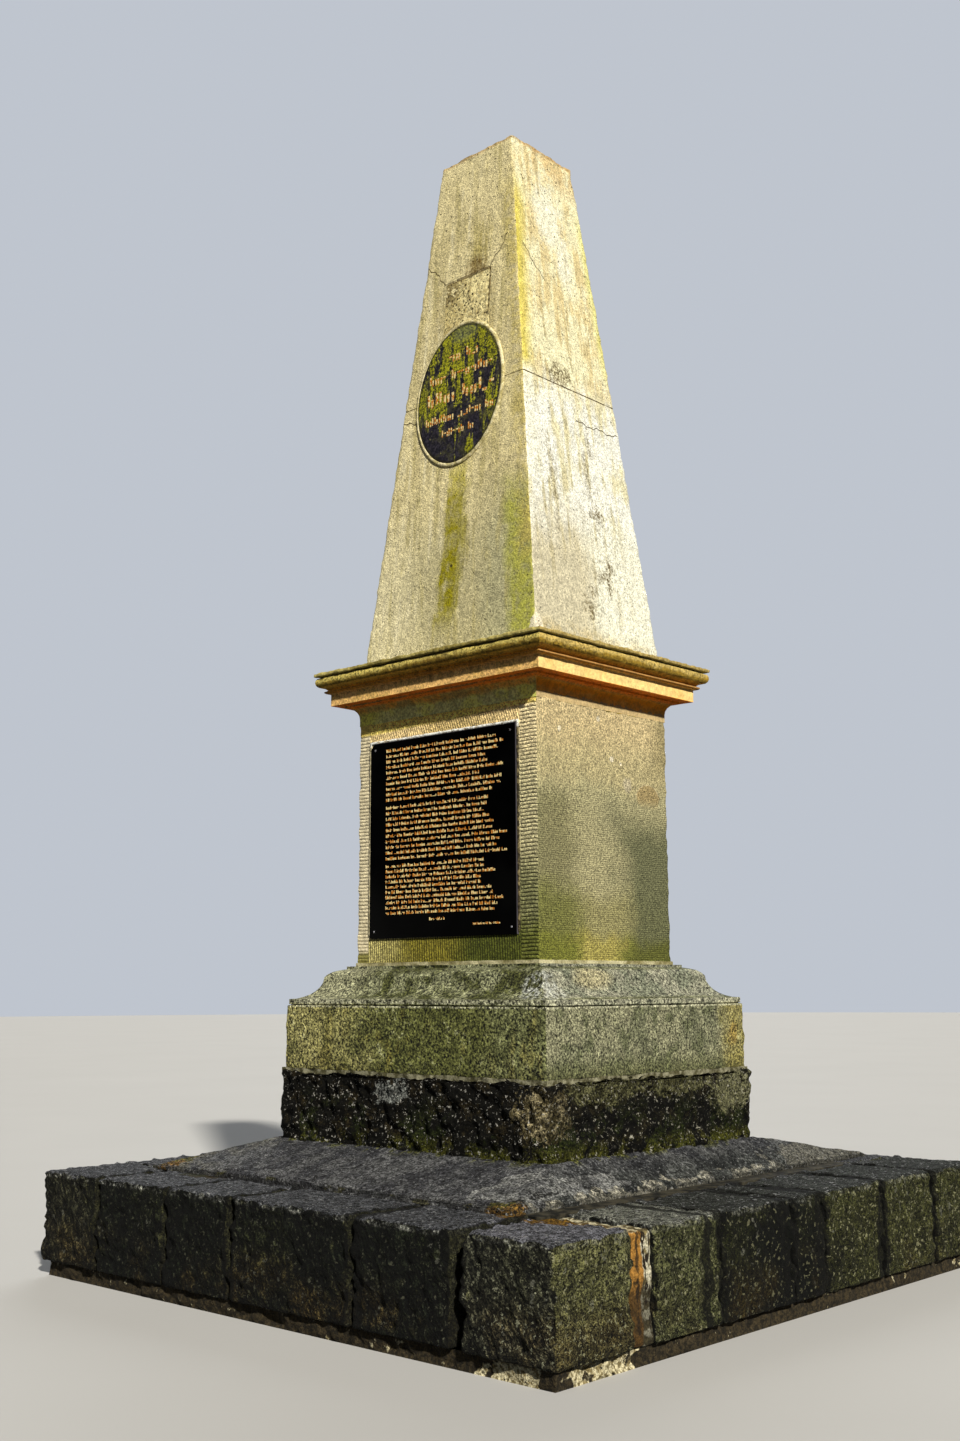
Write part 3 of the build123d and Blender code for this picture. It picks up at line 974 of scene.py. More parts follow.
# %% Apron block
low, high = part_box("mortar_apron")
foot_low, foot_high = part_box("footing_course")
edge_height = 12 * mm
slope_cuts = 36
apron = block("mortar_apron_cap", low, (high.x, high.y, low.z + edge_height))
pick(apron, "FACE", lambda centre, normal: normal.z > 0.9)
rise_by = high.z - low.z - edge_height
extrude(rise_by)
middle = (low + high) / 2
bpy.ops.transform.translate(value=(-middle.x, -middle.y, 0))
shrink = ((foot_high.x - foot_low.x) / (high.x - low.x), (foot_high.y - foot_low.y) / (high.y - low.y), 1)
bpy.ops.transform.resize(value=shrink, center_override=(0, 0, high.z))
extrude(-rise_by - edge_height + mm)
only(apron)
pick(apron, "EDGE", lambda a, b: min(abs(a.x - b.x), abs(a.y - b.y), abs(a.z - b.z)) > 0.08)
bpy.ops.mesh.subdivide(number_cuts=slope_cuts)
cut(apron, "xy", 0.0145, together=True)
close_bed(apron, low.z, low.z + mm)
places = points(apron)
slope = (places[:, 2] > low.z + 0.002).astype(float)
rim = (np.abs(places[:, 2] - low.z - edge_height) < 0.012) * slope
mark(apron, "slope", slope)
mark(apron, "rim", rim)
weather(apron, (broad, 0.030, "slope"), (lumps, 0.012, "slope"), (grit, 0.004, "slope"),
        (chips, -0.010, "rim"))
keep(apron, apron_look, "apron_mortar", "mortar_apron", angle=50)

# %% [markdown]
# ## Footing
# Under the plinth runs a course of dark rubble stone, very rough, with lime run-off round the near corner.
# The same steps as for the kerb make it, with deeper and finer patterns.

# %% Footing: stone and lime
f = Finish("footing_finish")
cloud = f.noise(0.22, 4)
patches = f.noise(0.07, 5, 0.7)
mottle = f.noise(0.03, 5, 0.7)
grains = f.noise(0.010, 3, 0.75)
fine = f.noise(0.006, 3)
right = abs(f.across).above(0.3, 0.8)
hidden = f.far_sides()
brown = f.mix(seen(44, 37, 20, 0.92), seen(52, 46, 28, 1.45), right)
moss = (cloud + (mottle - 0.5) * 0.4).above(0.55, 0.60) * f.z.below(0.60, 0.80)
ragged = (patches - 0.5) * 2.6 + (mottle - 0.5) * 1.8
lime = f.blobs(
    ragged,
    ((0.78, -0.36, 0.79), (0.2, 0.22, 0.06), 0.10),
    ((0.78, 0.15, 0.80), (0.2, 0.30, 0.05), 0.10),
    ((0.78, 0.52, 0.76), (0.2, 0.17, 0.09), 0.10))
lime_colour = f.coats(1.45, (58, 56, 32), [
    ((112, 110, 74), mottle.above(0.42, 0.55)),
    ((146, 144, 108), f.y.above(0.2, 0.6) * 0.6),
])
corner = f.blob((0.73, -0.68, 0.71), (0.11, 0.14, 0.10), ragged * 1.3, 0.10)
corner_colour = f.mix((70, 62, 38), (150, 138, 104), mottle.above(0.44, 0.58), 0.92)
corner_colour = f.mix(corner_colour, f.shade(corner_colour, 0.55), right)
scar = f.blob((-0.06, -0.69, 0.77), (0.10, 0.2, 0.05), ragged, 0.12)
green = f.z.below(0.56, 0.62) * (cloud + patches).above(0.98, 1.05)
f.report("its masks")

# %% [markdown]
# On the nearly black stone lie brown patches, moss, lime and the pale corner, and a bright crust comes last.

# %% Footing: coats
colour = f.coats(FRONT, seen(11, 10, 6, 0.92), [
    (seen(13, 12, 8, 1.45), right),
    ((26, 25, 18), hidden),
    (brown, patches.above(0.50, 0.62) * 0.6),
    ((32, 38, 12), moss * 0.7),
    (lime_colour, lime * 0.9),
    (corner_colour, corner * 0.85),
    (f.mix((60, 62, 60), (120, 122, 116), grains.above(0.4, 0.6), FRONT), scar * 0.7),
    ((62, 62, 18), green * 0.7),
])
colour = f.speckle(colour, (grains, 0.90), (fine, 0.50))
crust = f.noise(0.014, 3, 0.7).above(0.61, 0.64) * (patches.above(0.40, 0.54) * 0.8 + 0.2)
crust_colour = f.mix(seen(208, 204, 192, 0.92), seen(216, 211, 190, 1.45), right)
colour = f.mix(colour, crust_colour, crust * (right * 0.15 + 0.75))
bump = f.relief(grains + fine * 0.5, 0.008, f.relief(mottle, 0.026))
footing_look = f.surface(colour, 0.95, bump, 0.15)

# %% Footing block
low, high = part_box("footing_course")
footing = block("footing_rubble", low, high)
ease(footing, 0.035, 3, lambda a, b: abs(a.z - b.z) > 0.1)
ease(footing, 0.012, 2, lambda a, b: a.z > high.z - mm and b.z > high.z - mm)
cut(footing, "xyz", 0.0105)
close_bed(footing, low.z)
weather(footing, (swell, 0.050), (facets, 0.028), (lumps, 0.026), (grit, 0.010))
keep(footing, footing_look, "rubble", "footing_course", angle=70)

# %% [markdown]
# ## Rubble packing
# The packing inside the ring shows only through the open joints, so its solid stays and gets a finish.


# %% Dressing a solid that stays
def dress(node, finish):
    """Give a solid of the model its finish."""
    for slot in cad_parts[node].material_slots:
        slot.material = finish
    print(node, "stays and has", finish.name)


# %% Rubble finish
f = Finish("rubble_finish")
lump = f.noise(0.04, 5)
colour = f.mix((16, 15, 10), (58, 54, 42), lump.above(0.38, 0.64), FRONT)
colour = f.shade(colour, f.noise(0.008) * 0.8 + 0.6)
rubble_look = f.surface(colour, 0.95, f.relief(lump, 0.02))

dress("core_fill", rubble_look)

# %% [markdown]
# ## Mortar bed under the plinth
# The line between footing and plinth is a lumpy pale ledge, wider on the right. A thin slab, a little
# thicker than the joint, is divided and its rim is pushed in and out.


# %% Pale mortar finish
def mortar_finish(name, light, dark, size=0.03):
    """Lumpy mortar from a dark to a light colour, with lumps of this size."""
    f = Finish(name)
    lump = f.noise(size, 5)
    fine = f.noise(0.005, 3)
    colour = f.mix(dark, light, lump.above(0.38, 0.62))
    colour = f.speckle(colour, (fine, 0.25))
    return f.surface(colour, 0.95, f.relief(lump + fine * 0.4, 0.006))


# %% Plinth bed
low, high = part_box("plinth_bed_mortar")
low.z -= 6 * mm
high.z += 3 * mm
ledge = block("plinth_bed_ledge", low, high)
cut(ledge, "xy", 0.011)
cut(ledge, "z", 0.006)
close_bed(ledge, low.z, high.z)
weather(ledge, (swell, 0.030), (lumps, 0.018))
ledge_finish = mortar_finish("ledge_finish", seen(140, 136, 110, 1.0), seen(74, 70, 44, 1.0))
keep(ledge, ledge_finish, "pale_mortar", "plinth_bed_mortar", angle=60)

# %% [markdown]
# ## Plinth and base moulding
# The plinth is a plain block, olive with algae in front and paler on the right. The moulding over it is a
# second stone with the same finish, cleaner and paler than the plinth. So the finish has two levels, each
# with a colour for the front and one for the right, and the joint between them as a pale line.

# %% Plinth: patterns and lower level
f = Finish("plinth_finish")
cloud = f.noise(0.20, 4)
patches = f.noise(0.075, 5, 0.65)
mottle = f.noise(0.028, 4, 0.65)
grains = f.noise(0.010, 3, 0.7)
fine = f.noise(0.006, 3)
drip = f.noise(1, 4, 0.6, f.stretch(0.045, 0.045, 0.22))
right = abs(f.across).above(0.3, 0.8)
level = f.z.above(1.10, 1.13)
wander = (cloud - 0.5) * 0.9
front_low = f.coats(FRONT, (134, 128, 80), [
    ((92, 93, 52), (f.x + wander).above(-0.55, -0.10)),
    ((78, 80, 40), (f.x + wander).within(0.0, 0.25, 0.15) * 0.8),
    ((98, 100, 64), (f.x + wander).above(0.30, 0.55)),
    ((112, 98, 38), (cloud * 0.6 + drip * 0.4).above(0.52, 0.62) * 0.4),
    ((54, 56, 26), patches.below(0.38, 0.48) * 0.6),
])
far = (f.y + wander * 0.4).above(0.44, 0.58)
glow = f.blob((0.76, 0.58, 0.98), (0.3, 0.05, 0.07), (patches - 0.5) * 1.8, 0.7)
right_low = f.coats(RIGHT, (114, 115, 88), [
    ((140, 138, 108), (cloud + patches).above(0.88, 1.10)),
    ((88, 92, 60), patches.below(0.40, 0.49) * 0.55),
    ((98, 100, 64), f.z.below(0.85, 0.95) * 0.7),
    ((150, 138, 74), far * 0.7),
    ((164, 130, 58), glow * 0.4),
])
f.report("its lower level")

# %% [markdown]
# The moulding turns its hollow to the sky, so it catches more light, and rain has washed it paler.

# %% Plinth: upper level
front_high = f.coats(1.05, (68, 70, 36), [
    ((122, 123, 92), (cloud + patches).above(0.90, 1.10)),
    ((152, 150, 120), (f.x + wander * 0.4).below(-0.50, -0.25) * 0.7),
])
right_high = f.coats(1.40, (124, 127, 106), [
    ((158, 156, 134), (cloud + patches).above(0.86, 1.12)),
    ((180, 170, 130), f.blob((0.66, -0.24, 1.22), (0.2, 0.16, 0.06), wander, 0.6) * 0.8),
])
near = f.blob((0.68, -0.58, 1.20), (0.14, 0.14, 0.10), (patches - 0.5) * 1.6, 0.4)
right_low = f.shade(right_low, 1.08)
low_colour = f.mix(front_low, right_low, right)
high_colour = f.coats(1.2, front_high, [
    (right_high, f.across.above(0.15, 0.5).either(f.across.below(-0.5, -0.15))),
    ((172, 174, 168), near * mottle.above(0.42, 0.54) * 0.6),
])
f.report("its upper level")

# %% [markdown]
# Last come the specks of lichen, the mortar line between the two stones, the stained foot and fine dark
# pits. The faint arcs in the relief of the moulding are the marks of a round dressing tool.

# %% Plinth: lichen, joint and pits
lichen = mottle.above(0.56, 0.66) * patches.above(0.46, 0.58)
line_mask = f.z.within(1.104, 1.110, 0.002).either(f.z.within(1.120, 1.136, 0.003))
open_line = f.z.within(1.1115, 1.1135, 0.002)
foot = f.z.below(0.845, 0.90) * patches.above(0.42, 0.56)
pit = grains.below(0.34, 0.42) * patches.below(0.48, 0.62)
colour = f.coats(0.9, low_colour, [
    (high_colour, level),
    ((150, 150, 118), lichen * 0.45),
    (seen(158, 156, 130, 0.8), line_mask * mottle.above(0.36, 0.50) * 0.6),
    (seen(38, 36, 20), open_line * 0.8),
    ((60, 60, 28), foot * 0.5),
    (seen(34, 34, 16, FRONT), pit * 0.7),
])
colour = f.speckle(colour, (mottle, 0.24))
colour = f.mix(f.speckle(colour, (grains, 0.95)), f.speckle(colour, (grains, 0.64)), right)
colour = f.speckle(colour, (fine, 0.50))
wave = {"Vector": f.stretch(0.28, 0.28, 0.28), "Scale": 3.2, "Distortion": 1.5, "Detail": 2.0}
arcs = f.node("TexWave", {"wave_type": "RINGS", "rings_direction": "Y"}, wave, 1)
bump = f.relief(grains - pit, 0.004, f.relief(mottle + arcs * level * 0.25, 0.006))
plinth_look = f.surface(colour, 0.9, bump)

# %% Plinth block
low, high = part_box("plinth_block")
plinth = block("plinth_stone", low, high)
ease(plinth, 0.005, 2)
cut(plinth, "xyz", 0.0105)
close_bed(plinth, low.z, high.z)
mark(plinth, "arrises", arris(box_gaps(plinth, low, high), 0.016))
weather(plinth, (broad, 0.006), (lumps, 0.004), (grit, 0.0025), (chips, -0.006, "arrises"))
keep(plinth, plinth_look, "sandstone", "plinth_block")

# %% [markdown]
# A moulding has one profile on all four sides. From the plan of its lowest bed the face is extruded up and
# scaled out or in, step by step along the profile, so that all four mitres are exact.


# %% A moulding from its profile
def moulding(name, half_x, half_y, foot, profile):
    """Extrude a rectangle up and out through the (reach, height) steps of a profile."""
    ob = block(name, (-half_x, -half_y, foot), (half_x, half_y, foot + profile[1][1]))
    reach = profile[0][0]
    pick(ob, "FACE", lambda centre, normal: normal.z > 0.9)
    height = foot + profile[1][1]
    for count, (out, rise_to) in enumerate(profile[1:]):
        if count:
            lift = foot + rise_to - height
            extrude(lift)
            height += lift
        size = ((half_x + out) / (half_x + reach), (half_y + out) / (half_y + reach), 1)
        bpy.ops.transform.resize(value=size, center_override=(0, 0, height))
        reach = out
    only(ob)
    return ob


def arc(centre, radius_out, radius_up, start, end, count):
    """Points (reach, height) along part of an ellipse, angles in degrees."""
    turns = [math.radians(start + (end - start) * step / count) for step in range(count + 1)]
    return [(centre[0] + radius_out * math.cos(turn), centre[1] + radius_up * math.sin(turn))
            for turn in turns]


# %% Base moulding
low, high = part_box("base_moulding")
die_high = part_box("die_block")[1]
reach = high.x - die_high.x
height = high.z - low.z
quirk = 6 * mm
head_reach = 33 * mm
base_profile = [(reach - quirk, 0), (reach - quirk, 2.5 * mm), (reach, 3 * mm), (reach, 25 * mm)]
base_profile += arc((reach + 0.002, 0.126), 0.112, 0.101, 268, 198, 6)[1:]
base_profile += [(reach * 0.49, height * 0.72), (reach * 0.44, height * 0.80)]
base_profile += [(reach * 0.36, height * 0.865), (reach * 0.27, height * 0.90)]
base_profile += [(head_reach, height * 0.93), (head_reach, height)]
base = moulding("base_moulding_stone", die_high.x + reach - quirk, die_high.y + reach - quirk, low.z,
                [(out - reach + quirk, up) for out, up in base_profile])
cut(base, "z", 0.010)
cut(base, "xy", 0.0105, together=True)
close_bed(base, low.z, high.z)
weather(base, (broad, 0.006), (lumps, 0.004), (grit, 0.002))
keep(base, plinth_look, "sandstone", "base_moulding", angle=30)

# %% [markdown]
# A thin cream joint lies between the moulding and the die. It is made like the ledge under the plinth.

# %% Mortar joint under the die
low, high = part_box("die_bed_mortar")
low.z -= 2 * mm
high.z += 2 * mm
joint = block("die_bed_joint", low, high)
cut(joint, "xy", 0.009)
cut(joint, "z", 0.006)
close_bed(joint, low.z, high.z)
weather(joint, (lumps, 0.010), (grit, 0.004))
joint_finish = mortar_finish("die_joint_finish", seen(190, 182, 144, 0.9), seen(120, 112, 72, 0.9), 0.09)
keep(joint, joint_finish, "pale_mortar", "die_bed_mortar", angle=60)

# %% [markdown]
# ## Die
# The die is a smooth block whose front is tooled: the margins beside the tablet are combed with level
# strokes, and the bands above and below it with upright ones. The finish and the mesh must agree on where
# the strokes run, so we first name the pitch of the strokes and the edges of the margins.

# %% Sizes of the tooling
slab_low, slab_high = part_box("tablet")
bead = 13 * mm
margin_low, margin_high = slab_low.x - bead, slab_high.x + bead
level_pitch = 15.5 * mm
upright_pitch = 13.5 * mm
print("margins beside the tablet", round(margin_low, 3), round(margin_high, 3))

# %% [markdown]
# In front the stain from the ground climbs up to the middle of the die, olive at the foot and cream at the
# head. The bands above and below the tablet have colours of their own.

# %% Die: patterns and front
f = Finish("die_finish")
cloud = f.noise(0.24, 4)
patches = f.noise(0.07, 4, 0.6)
mottle = f.noise(0.03, 5, 0.6)
grains = f.noise(0.010, 3, 0.7)
fine = f.noise(0.005, 3, 0.65)
right = f.across.above(0.35, 0.75)
wander = (cloud - 0.5) * 0.35 + (patches - 0.5) * 0.15
height = f.z + wander * 0.5
shady = FRONT * 0.80
near = f.coats(shady, (82, 85, 34), [
    ((108, 107, 70), height.above(1.38, 1.50)),
    ((170, 161, 122), height.above(1.56, 1.82)),
    ((194, 178, 136), height.above(2.02, 2.22)),
])
in_band = f.x.within(margin_low, margin_high, 0.003)
bright = FRONT * 0.96
head_colour = f.mix((214, 188, 132), (186, 162, 106), (f.x + wander).within(-0.05, 0.18, 0.15), bright)
foot_colour = f.coats(shady, (160, 150, 94), [
    ((106, 98, 32), (f.x + wander).above(-0.42, -0.15)),
    ((64, 68, 20), (f.x + wander).above(-0.05, 0.20)),
])
front = f.coats(shady, seen(206, 193, 158, FRONT * 0.92), [
    (near, f.x.above(-0.2, 0.3)),
    ((122, 116, 62), f.z.below(1.325, 1.345) * f.x.below(-0.46, -0.44)),
    (head_colour, f.z.above(2.262, 2.270) * in_band),
    (foot_colour, f.z.below(1.390, 1.398) * in_band),
])
f.report("its front")

# %% [markdown]
# Each tooled stroke is a dark line, because its groove lies in its own shade. A ping-pong node counts them
# along the height or the width, and slow waves keep them from being quite straight. The top of the front
# lies in the shadow of the cornice.

# %% Die: tooled strokes and shadow
level_row = f.z / level_pitch + (f.x * 60).sine() * 0.06 + (f.z * 23).sine() * 0.12
slant = f.z.above(2.1, 2.2) * 0.30 + 0.05
upright_row = (f.x + f.z * slant) / upright_pitch + (f.x * 31).sine() * 0.15
level_line = f.ripple(level_row, 0.5).above(0.30, 0.44)
upright_line = f.ripple(upright_row, 0.5).above(0.28, 0.44)
deep_part = f.x.above(0.0, 0.3) * (f.z.below(1.9, 2.3) * 0.4 + 0.6)
line_depth = f.mix((0.50, 0.50, 0.50, 1), (1, 1, 1, 1), deep_part)
level_line = level_line * (1 - in_band) * (mottle.above(0.30, 0.50) * 0.5 + 0.5) * line_depth
upright_line = upright_line * in_band * (mottle * 0.8 + 0.5) * (f.z.below(2.1, 2.2) * 0.5 + 0.5)
front_dark = f.shade(front, 0.16)
gloomy = (f.z - f.x * 0.030).above(2.312, 2.326)
front = f.coats(1.0, front, [
    (front_dark, level_line.either(upright_line)),
    (f.mix((112, 94, 50), (134, 106, 50), cloud, SHADE * 1.4), gloomy),
])
f.report("its strokes")

# %% [markdown]
# The right side is warm and sunlit above and stained below. A pale mend and a scar like the inside of a
# shell sit high up, and four small bright spots mark where splinters came off.

# %% Die: right side
sunny = RIGHT * 0.88
left_dim = (f.y + wander * 0.5).below(-0.30, -0.14) * height.below(1.93, 2.06)
upper = f.blob((0.53, 0.04, 1.90), (0.3, 0.16, 0.18), (patches - 0.5) * 0.6, 1.2)
gloom = (f.y + wander + (f.z - 1.6) * 0.2).above(0.00, 0.24) * height.below(1.76, 2.02)
foot_face = f.coats(sunny, (120, 122, 48), [
    ((172, 160, 84), (f.y + wander).within(-0.16, 0.02, 0.14)),
    ((98, 100, 40), (f.y + wander).above(0.10, 0.26)),
])
mend = f.blob((0.53, 0.155, 2.045), (0.3, 0.042, 0.040), (mottle - 0.5) * 1.0, 0.5)
shell_shape = (patches - 0.5) * 0.7
scar = f.blob((0.53, 0.300, 2.000), (0.3, 0.088, 0.062), shell_shape, 0.10)
rim = scar * (1 - scar) * 4 * f.z.above(1.99, 2.01)
face = f.coats(sunny, (176, 168, 126), [
    ((184, 171, 126), height.above(1.98, 2.10)),
    ((206, 186, 138), height.above(2.10, 2.30)),
    ((150, 138, 96), (f.y + wander).above(0.26, 0.46) * f.z.above(1.98, 2.20) * 0.8),
    ((134, 129, 90), left_dim * 0.85),
    ((130, 128, 96), upper * 0.5),
    ((148, 141, 88), height.below(1.48, 1.64) * 0.7),
    ((98, 101, 70), gloom * 0.85),
    ((114, 116, 56), (f.y + wander * 0.6).below(-0.27, -0.10) * height.below(1.52, 1.68) * 0.8),
    (foot_face, height.below(1.345, 1.43) * 0.9),
    (seen(198, 186, 154, RIGHT), mend * 0.8),
    (seen(172, 148, 98, RIGHT), scar * f.z.above(1.94, 2.0) * 0.75),
    (seen(226, 208, 162, RIGHT), rim * 0.8),
    (seen(96, 84, 50, RIGHT),
     f.blob((0.53, 0.31, 1.99), (0.3, 0.085, 0.056), shell_shape, 0.06) * rim * 0.8),
])
splinters = [(0.047, 2.147, 0.016), (0.110, 2.132, 0.010), (-0.300, 2.240, 0.014), (-0.040, 2.312, 0.013)]
for y, z, size in splinters:
    spot = f.blob((0.53, y, z), (0.1, size, size), (mottle - 0.5) * 1.5, 0.4)
    face = f.mix(face, seen(244, 232, 200, RIGHT), spot * 0.9)
tooled = f.z + (f.noise(0.05, 2) - 0.5) * 0.005
fine_pitch = 4.4 * mm
strokes = f.ripple(tooled, fine_pitch) / fine_pitch
strokes = strokes.above(0.45, 0.85) * right * mottle.above(0.40, 0.58) * f.z.below(1.80, 2.15)
# The fine level strokes of the right side are darker lines: painted shade in their grooves.
face = f.mix(face, f.shade(face, 0.66), strokes * 0.7)
f.report("its right side")

# %% [markdown]
# The back and the left side are plain weathered stone. Then the sides are put together, with dark pits and
# speckles over all but the clean left margin.

# %% Die: plain sides, pits and grain
other = f.far_sides()
plain = f.coats(shady, (128, 122, 80), [
    ((178, 164, 122), (cloud + f.z * 0.3).above(0.86, 1.10)),
    (seen(96, 98, 60, FRONT), patches.below(0.40, 0.50) * f.z.below(1.6, 2.0) * 0.7),
])
dark = f.cells(0.045).below(0.035, 0.090) * f.noise(0.03, 2).above(0.50, 0.58)
colour = f.coats(FRONT, front, [
    (face, right),
    (plain, other),
    ((40, 34, 18), dark * 0.85),
])
clean = f.x.below(margin_low - 0.002, margin_low) * (1 - right) * (1 - other)
colour = f.speckle(colour, (mottle, 0.16))
colour = f.mix(f.speckle(colour, (grains, 0.38)), f.speckle(colour, (grains, 0.16)), clean)
colour = f.mix(f.speckle(colour, (fine, 0.36)), colour, clean)
lines = level_line.either(upright_line) * (1 - right)
tooled_relief = f.relief(mottle - strokes * 0.5 - dark - lines * 0.4, 0.004)
die_look = f.surface(colour, 0.9, f.relief(fine + grains, 0.0025, tooled_relief))

# %% [markdown]
# Planes along the edges of the tablet split the block, so that each region of the front can be divided as
# finely as its strokes need. The sides and the back stay coarser.

# %% Die block split along the tablet
low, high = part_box("die_block")
die = block("die_stone", low, high)
ease(die, 0.006, 2, lambda a, b: abs(a.z - b.z) > 0.1)
splits = [((margin_low, 0, 0), (1, 0, 0)), ((margin_high, 0, 0), (1, 0, 0))]
splits += [((0, 0, slab_low.z), (0, 0, 1)), ((0, 0, slab_high.z + bead), (0, 0, 1))]
for place, normal in splits:
    pick(die, "FACE", lambda centre, normal: True)
    bpy.ops.mesh.bisect(plane_co=place, plane_no=normal)
only(die)
cut(die, "z", 0.0042)


def in_front(middles):
    """The points of the front face."""
    return middles[:, 1] < low.y + 0.003


def in_bands(middles):
    """The bands above and below the tablet, between the margins."""
    beyond = (middles[:, 2] > slab_high.z + bead - mm) | (middles[:, 2] < slab_low.z + mm)
    return in_front(middles) & beyond & (middles[:, 0] > margin_low) & (middles[:, 0] < margin_high)


cut(die, "x", 0.0026, where=in_bands)
cut(die, "x", 0.0110, where=lambda middles: in_front(middles) & (middles[:, 0] < margin_low))
cut(die, "x", 0.0110, where=lambda middles: in_front(middles) & (middles[:, 0] > margin_high))
cut(die, "y", 0.0180)
cut(die, "x", 0.0180, where=lambda middles: middles[:, 1] > 0)
close_bed(die, low.z, high.z)
print("the die has", len(die.data.polygons), "faces")

# %% [markdown]
# Each stroke is pressed into the points as a shallow groove, on the same waves as the lines in the finish.

# %% Strokes pressed into the front
places = points(die)
front_points = np.abs(places[:, 1] - low.y) < 0.001
inside = (places[:, 0] > margin_low) & (places[:, 0] < margin_high)
row = places[:, 2] / level_pitch + 0.06 * np.sin(places[:, 0] * 60) + 0.12 * np.sin(places[:, 2] * 23)
level_groove = np.exp(-(((row % 1) - 0.5) / 0.20) ** 2)
slant = np.where(places[:, 2] > slab_high.z, 0.35, 0.05)
row = (places[:, 0] + slant * places[:, 2]) / upright_pitch + 0.15 * np.sin(places[:, 0] * 31)
upright_groove = np.exp(-(((row % 1) - 0.5) / 0.22) ** 2)
upright_depth, level_depth = 1.6 * mm, 2.8 * mm
groove = np.where(inside, upright_groove * upright_depth, level_groove * level_depth)
places[:, 1] += np.where(front_points, groove, 0)
move(die, places)
mark(die, "arrises", arris(box_gaps(die, low, high), 0.014))
mark(die, "sides", np.where(inside & front_points, 0.15, 1.0))
weather(die, (broad, 0.006, "sides"), (lumps, 0.002, "sides"), (chips, -0.006, "arrises"))
keep(die, die_look, "sandstone", "die_block", angle=30)

# %% [markdown]
# ## Tablet
# The tablet is a polished black slab with one broken corner, set proud of the die in a bead of white
# mortar. The polish needs little more than black, a low roughness and some dust, and one bevelled edge of a
# block gives the broken corner.

# %% Black stone finish
f = Finish("tablet_finish")
cloud = f.noise(0.25, 3)
dust = f.noise(0.004, 2)
rim = f.across.above(0.5, 0.9)
edge = f.x.above(0.419, 0.421).either(f.z.above(2.2585, 2.2600))
colour = f.coats(FRONT, (1, 1, 1), [
    ((4, 4, 4), cloud.above(0.4, 0.7)),
    (seen(96, 90, 94, RIGHT), rim),
    ((60, 58, 62), edge * 0.5),
])
shine = 0.14 + cloud * 0.10 + rim * 0.4
black_look = f.surface(colour, shine, f.relief(dust, 0.0001), 0.02)

# %% Tablet slab
broken_corner = 22 * mm
tablet = block("tablet_stone", slab_low, slab_high)
pick(tablet, "EDGE", lambda a, b: abs(a.y - b.y) > 0.01 and a.x < 0 and a.z > 2)
bpy.ops.mesh.bevel(offset=broken_corner, segments=1, affect="EDGES")
only(tablet)
ease(tablet, 0.0025, 2, lambda a, b: abs(a.y - slab_low.y) < mm and abs(b.y - slab_low.y) < mm)
keep(tablet, black_look, "black_stone", "tablet")

# %% [markdown]
# The bead of mortar runs along the top and down both sides of the tablet. It is white along the top, cream
# on the left and painted dark on the right, a painted shade beside the tablet. A bar is split in three and
# its two ends are extruded down.

# %% Bead finish
f = Finish("bead_finish")
lump = f.noise(0.02, 5)
pale = f.mix((150, 138, 116), (228, 224, 214), lump.above(0.36, 0.54), FRONT)
left = f.mix((150, 140, 106), (190, 178, 144), lump.above(0.42, 0.56), FRONT)
# On the right the bead is painted dark brown: painted shade beside the tablet.
right = f.mix((48, 42, 28), (110, 98, 66), lump.above(0.48, 0.60), FRONT)
colour = f.mix(f.mix(left, right, f.x.above(0, 0.1)), pale, f.z.above(2.235, 2.255))
colour = f.speckle(colour, (f.noise(0.006, 3), 0.3))
bead_look = f.surface(colour, 0.95, f.relief(lump, 0.004))

# %% Mortar bead round the tablet
low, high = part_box("tablet_bead_mortar")
bead_bar = block("tablet_bead", (low.x, low.y, slab_high.z), high)
for place in (slab_low.x, slab_high.x):
    pick(bead_bar, "FACE", lambda centre, normal: True)
    bpy.ops.mesh.bisect(plane_co=(place, 0, 0), plane_no=(1, 0, 0))
pick(bead_bar, "FACE", lambda centre, normal: normal.z < -0.9 and not slab_low.x < centre.x < slab_high.x)
extrude(low.z - slab_high.z)
only(bead_bar)
ease(bead_bar, 0.003, 1)
cut(bead_bar, "xz", 0.007)
weather(bead_bar, (lumps, 0.006), (grit, 0.005))
keep(bead_bar, bead_look, "pale_mortar", "tablet_bead_mortar", angle=60)

# %% [markdown]
# On the real stone the tablet carries an inscription. Here rows of plain gilt strokes stand in its place,
# which look like gilt rows from a distance and spell nothing. One stroke is modelled and then copied.

# %% Gilt finish
f = Finish("gilt_finish")
wear_and_glint = f.noise(0.012, 3)
# Worn gilt is darker orange; the paler gold spots are a painted glint.
colour = f.mix((182, 112, 34), (228, 201, 140), wear_and_glint.above(0.44, 0.56), FRONT)
gilt_look = f.surface(colour, 0.6, f.relief(f.noise(0.003), 0.0005), 0.15)

# %% Rows of gilt strokes
chance = np.random.default_rng(7)
stroke_depth = 2.0 * mm


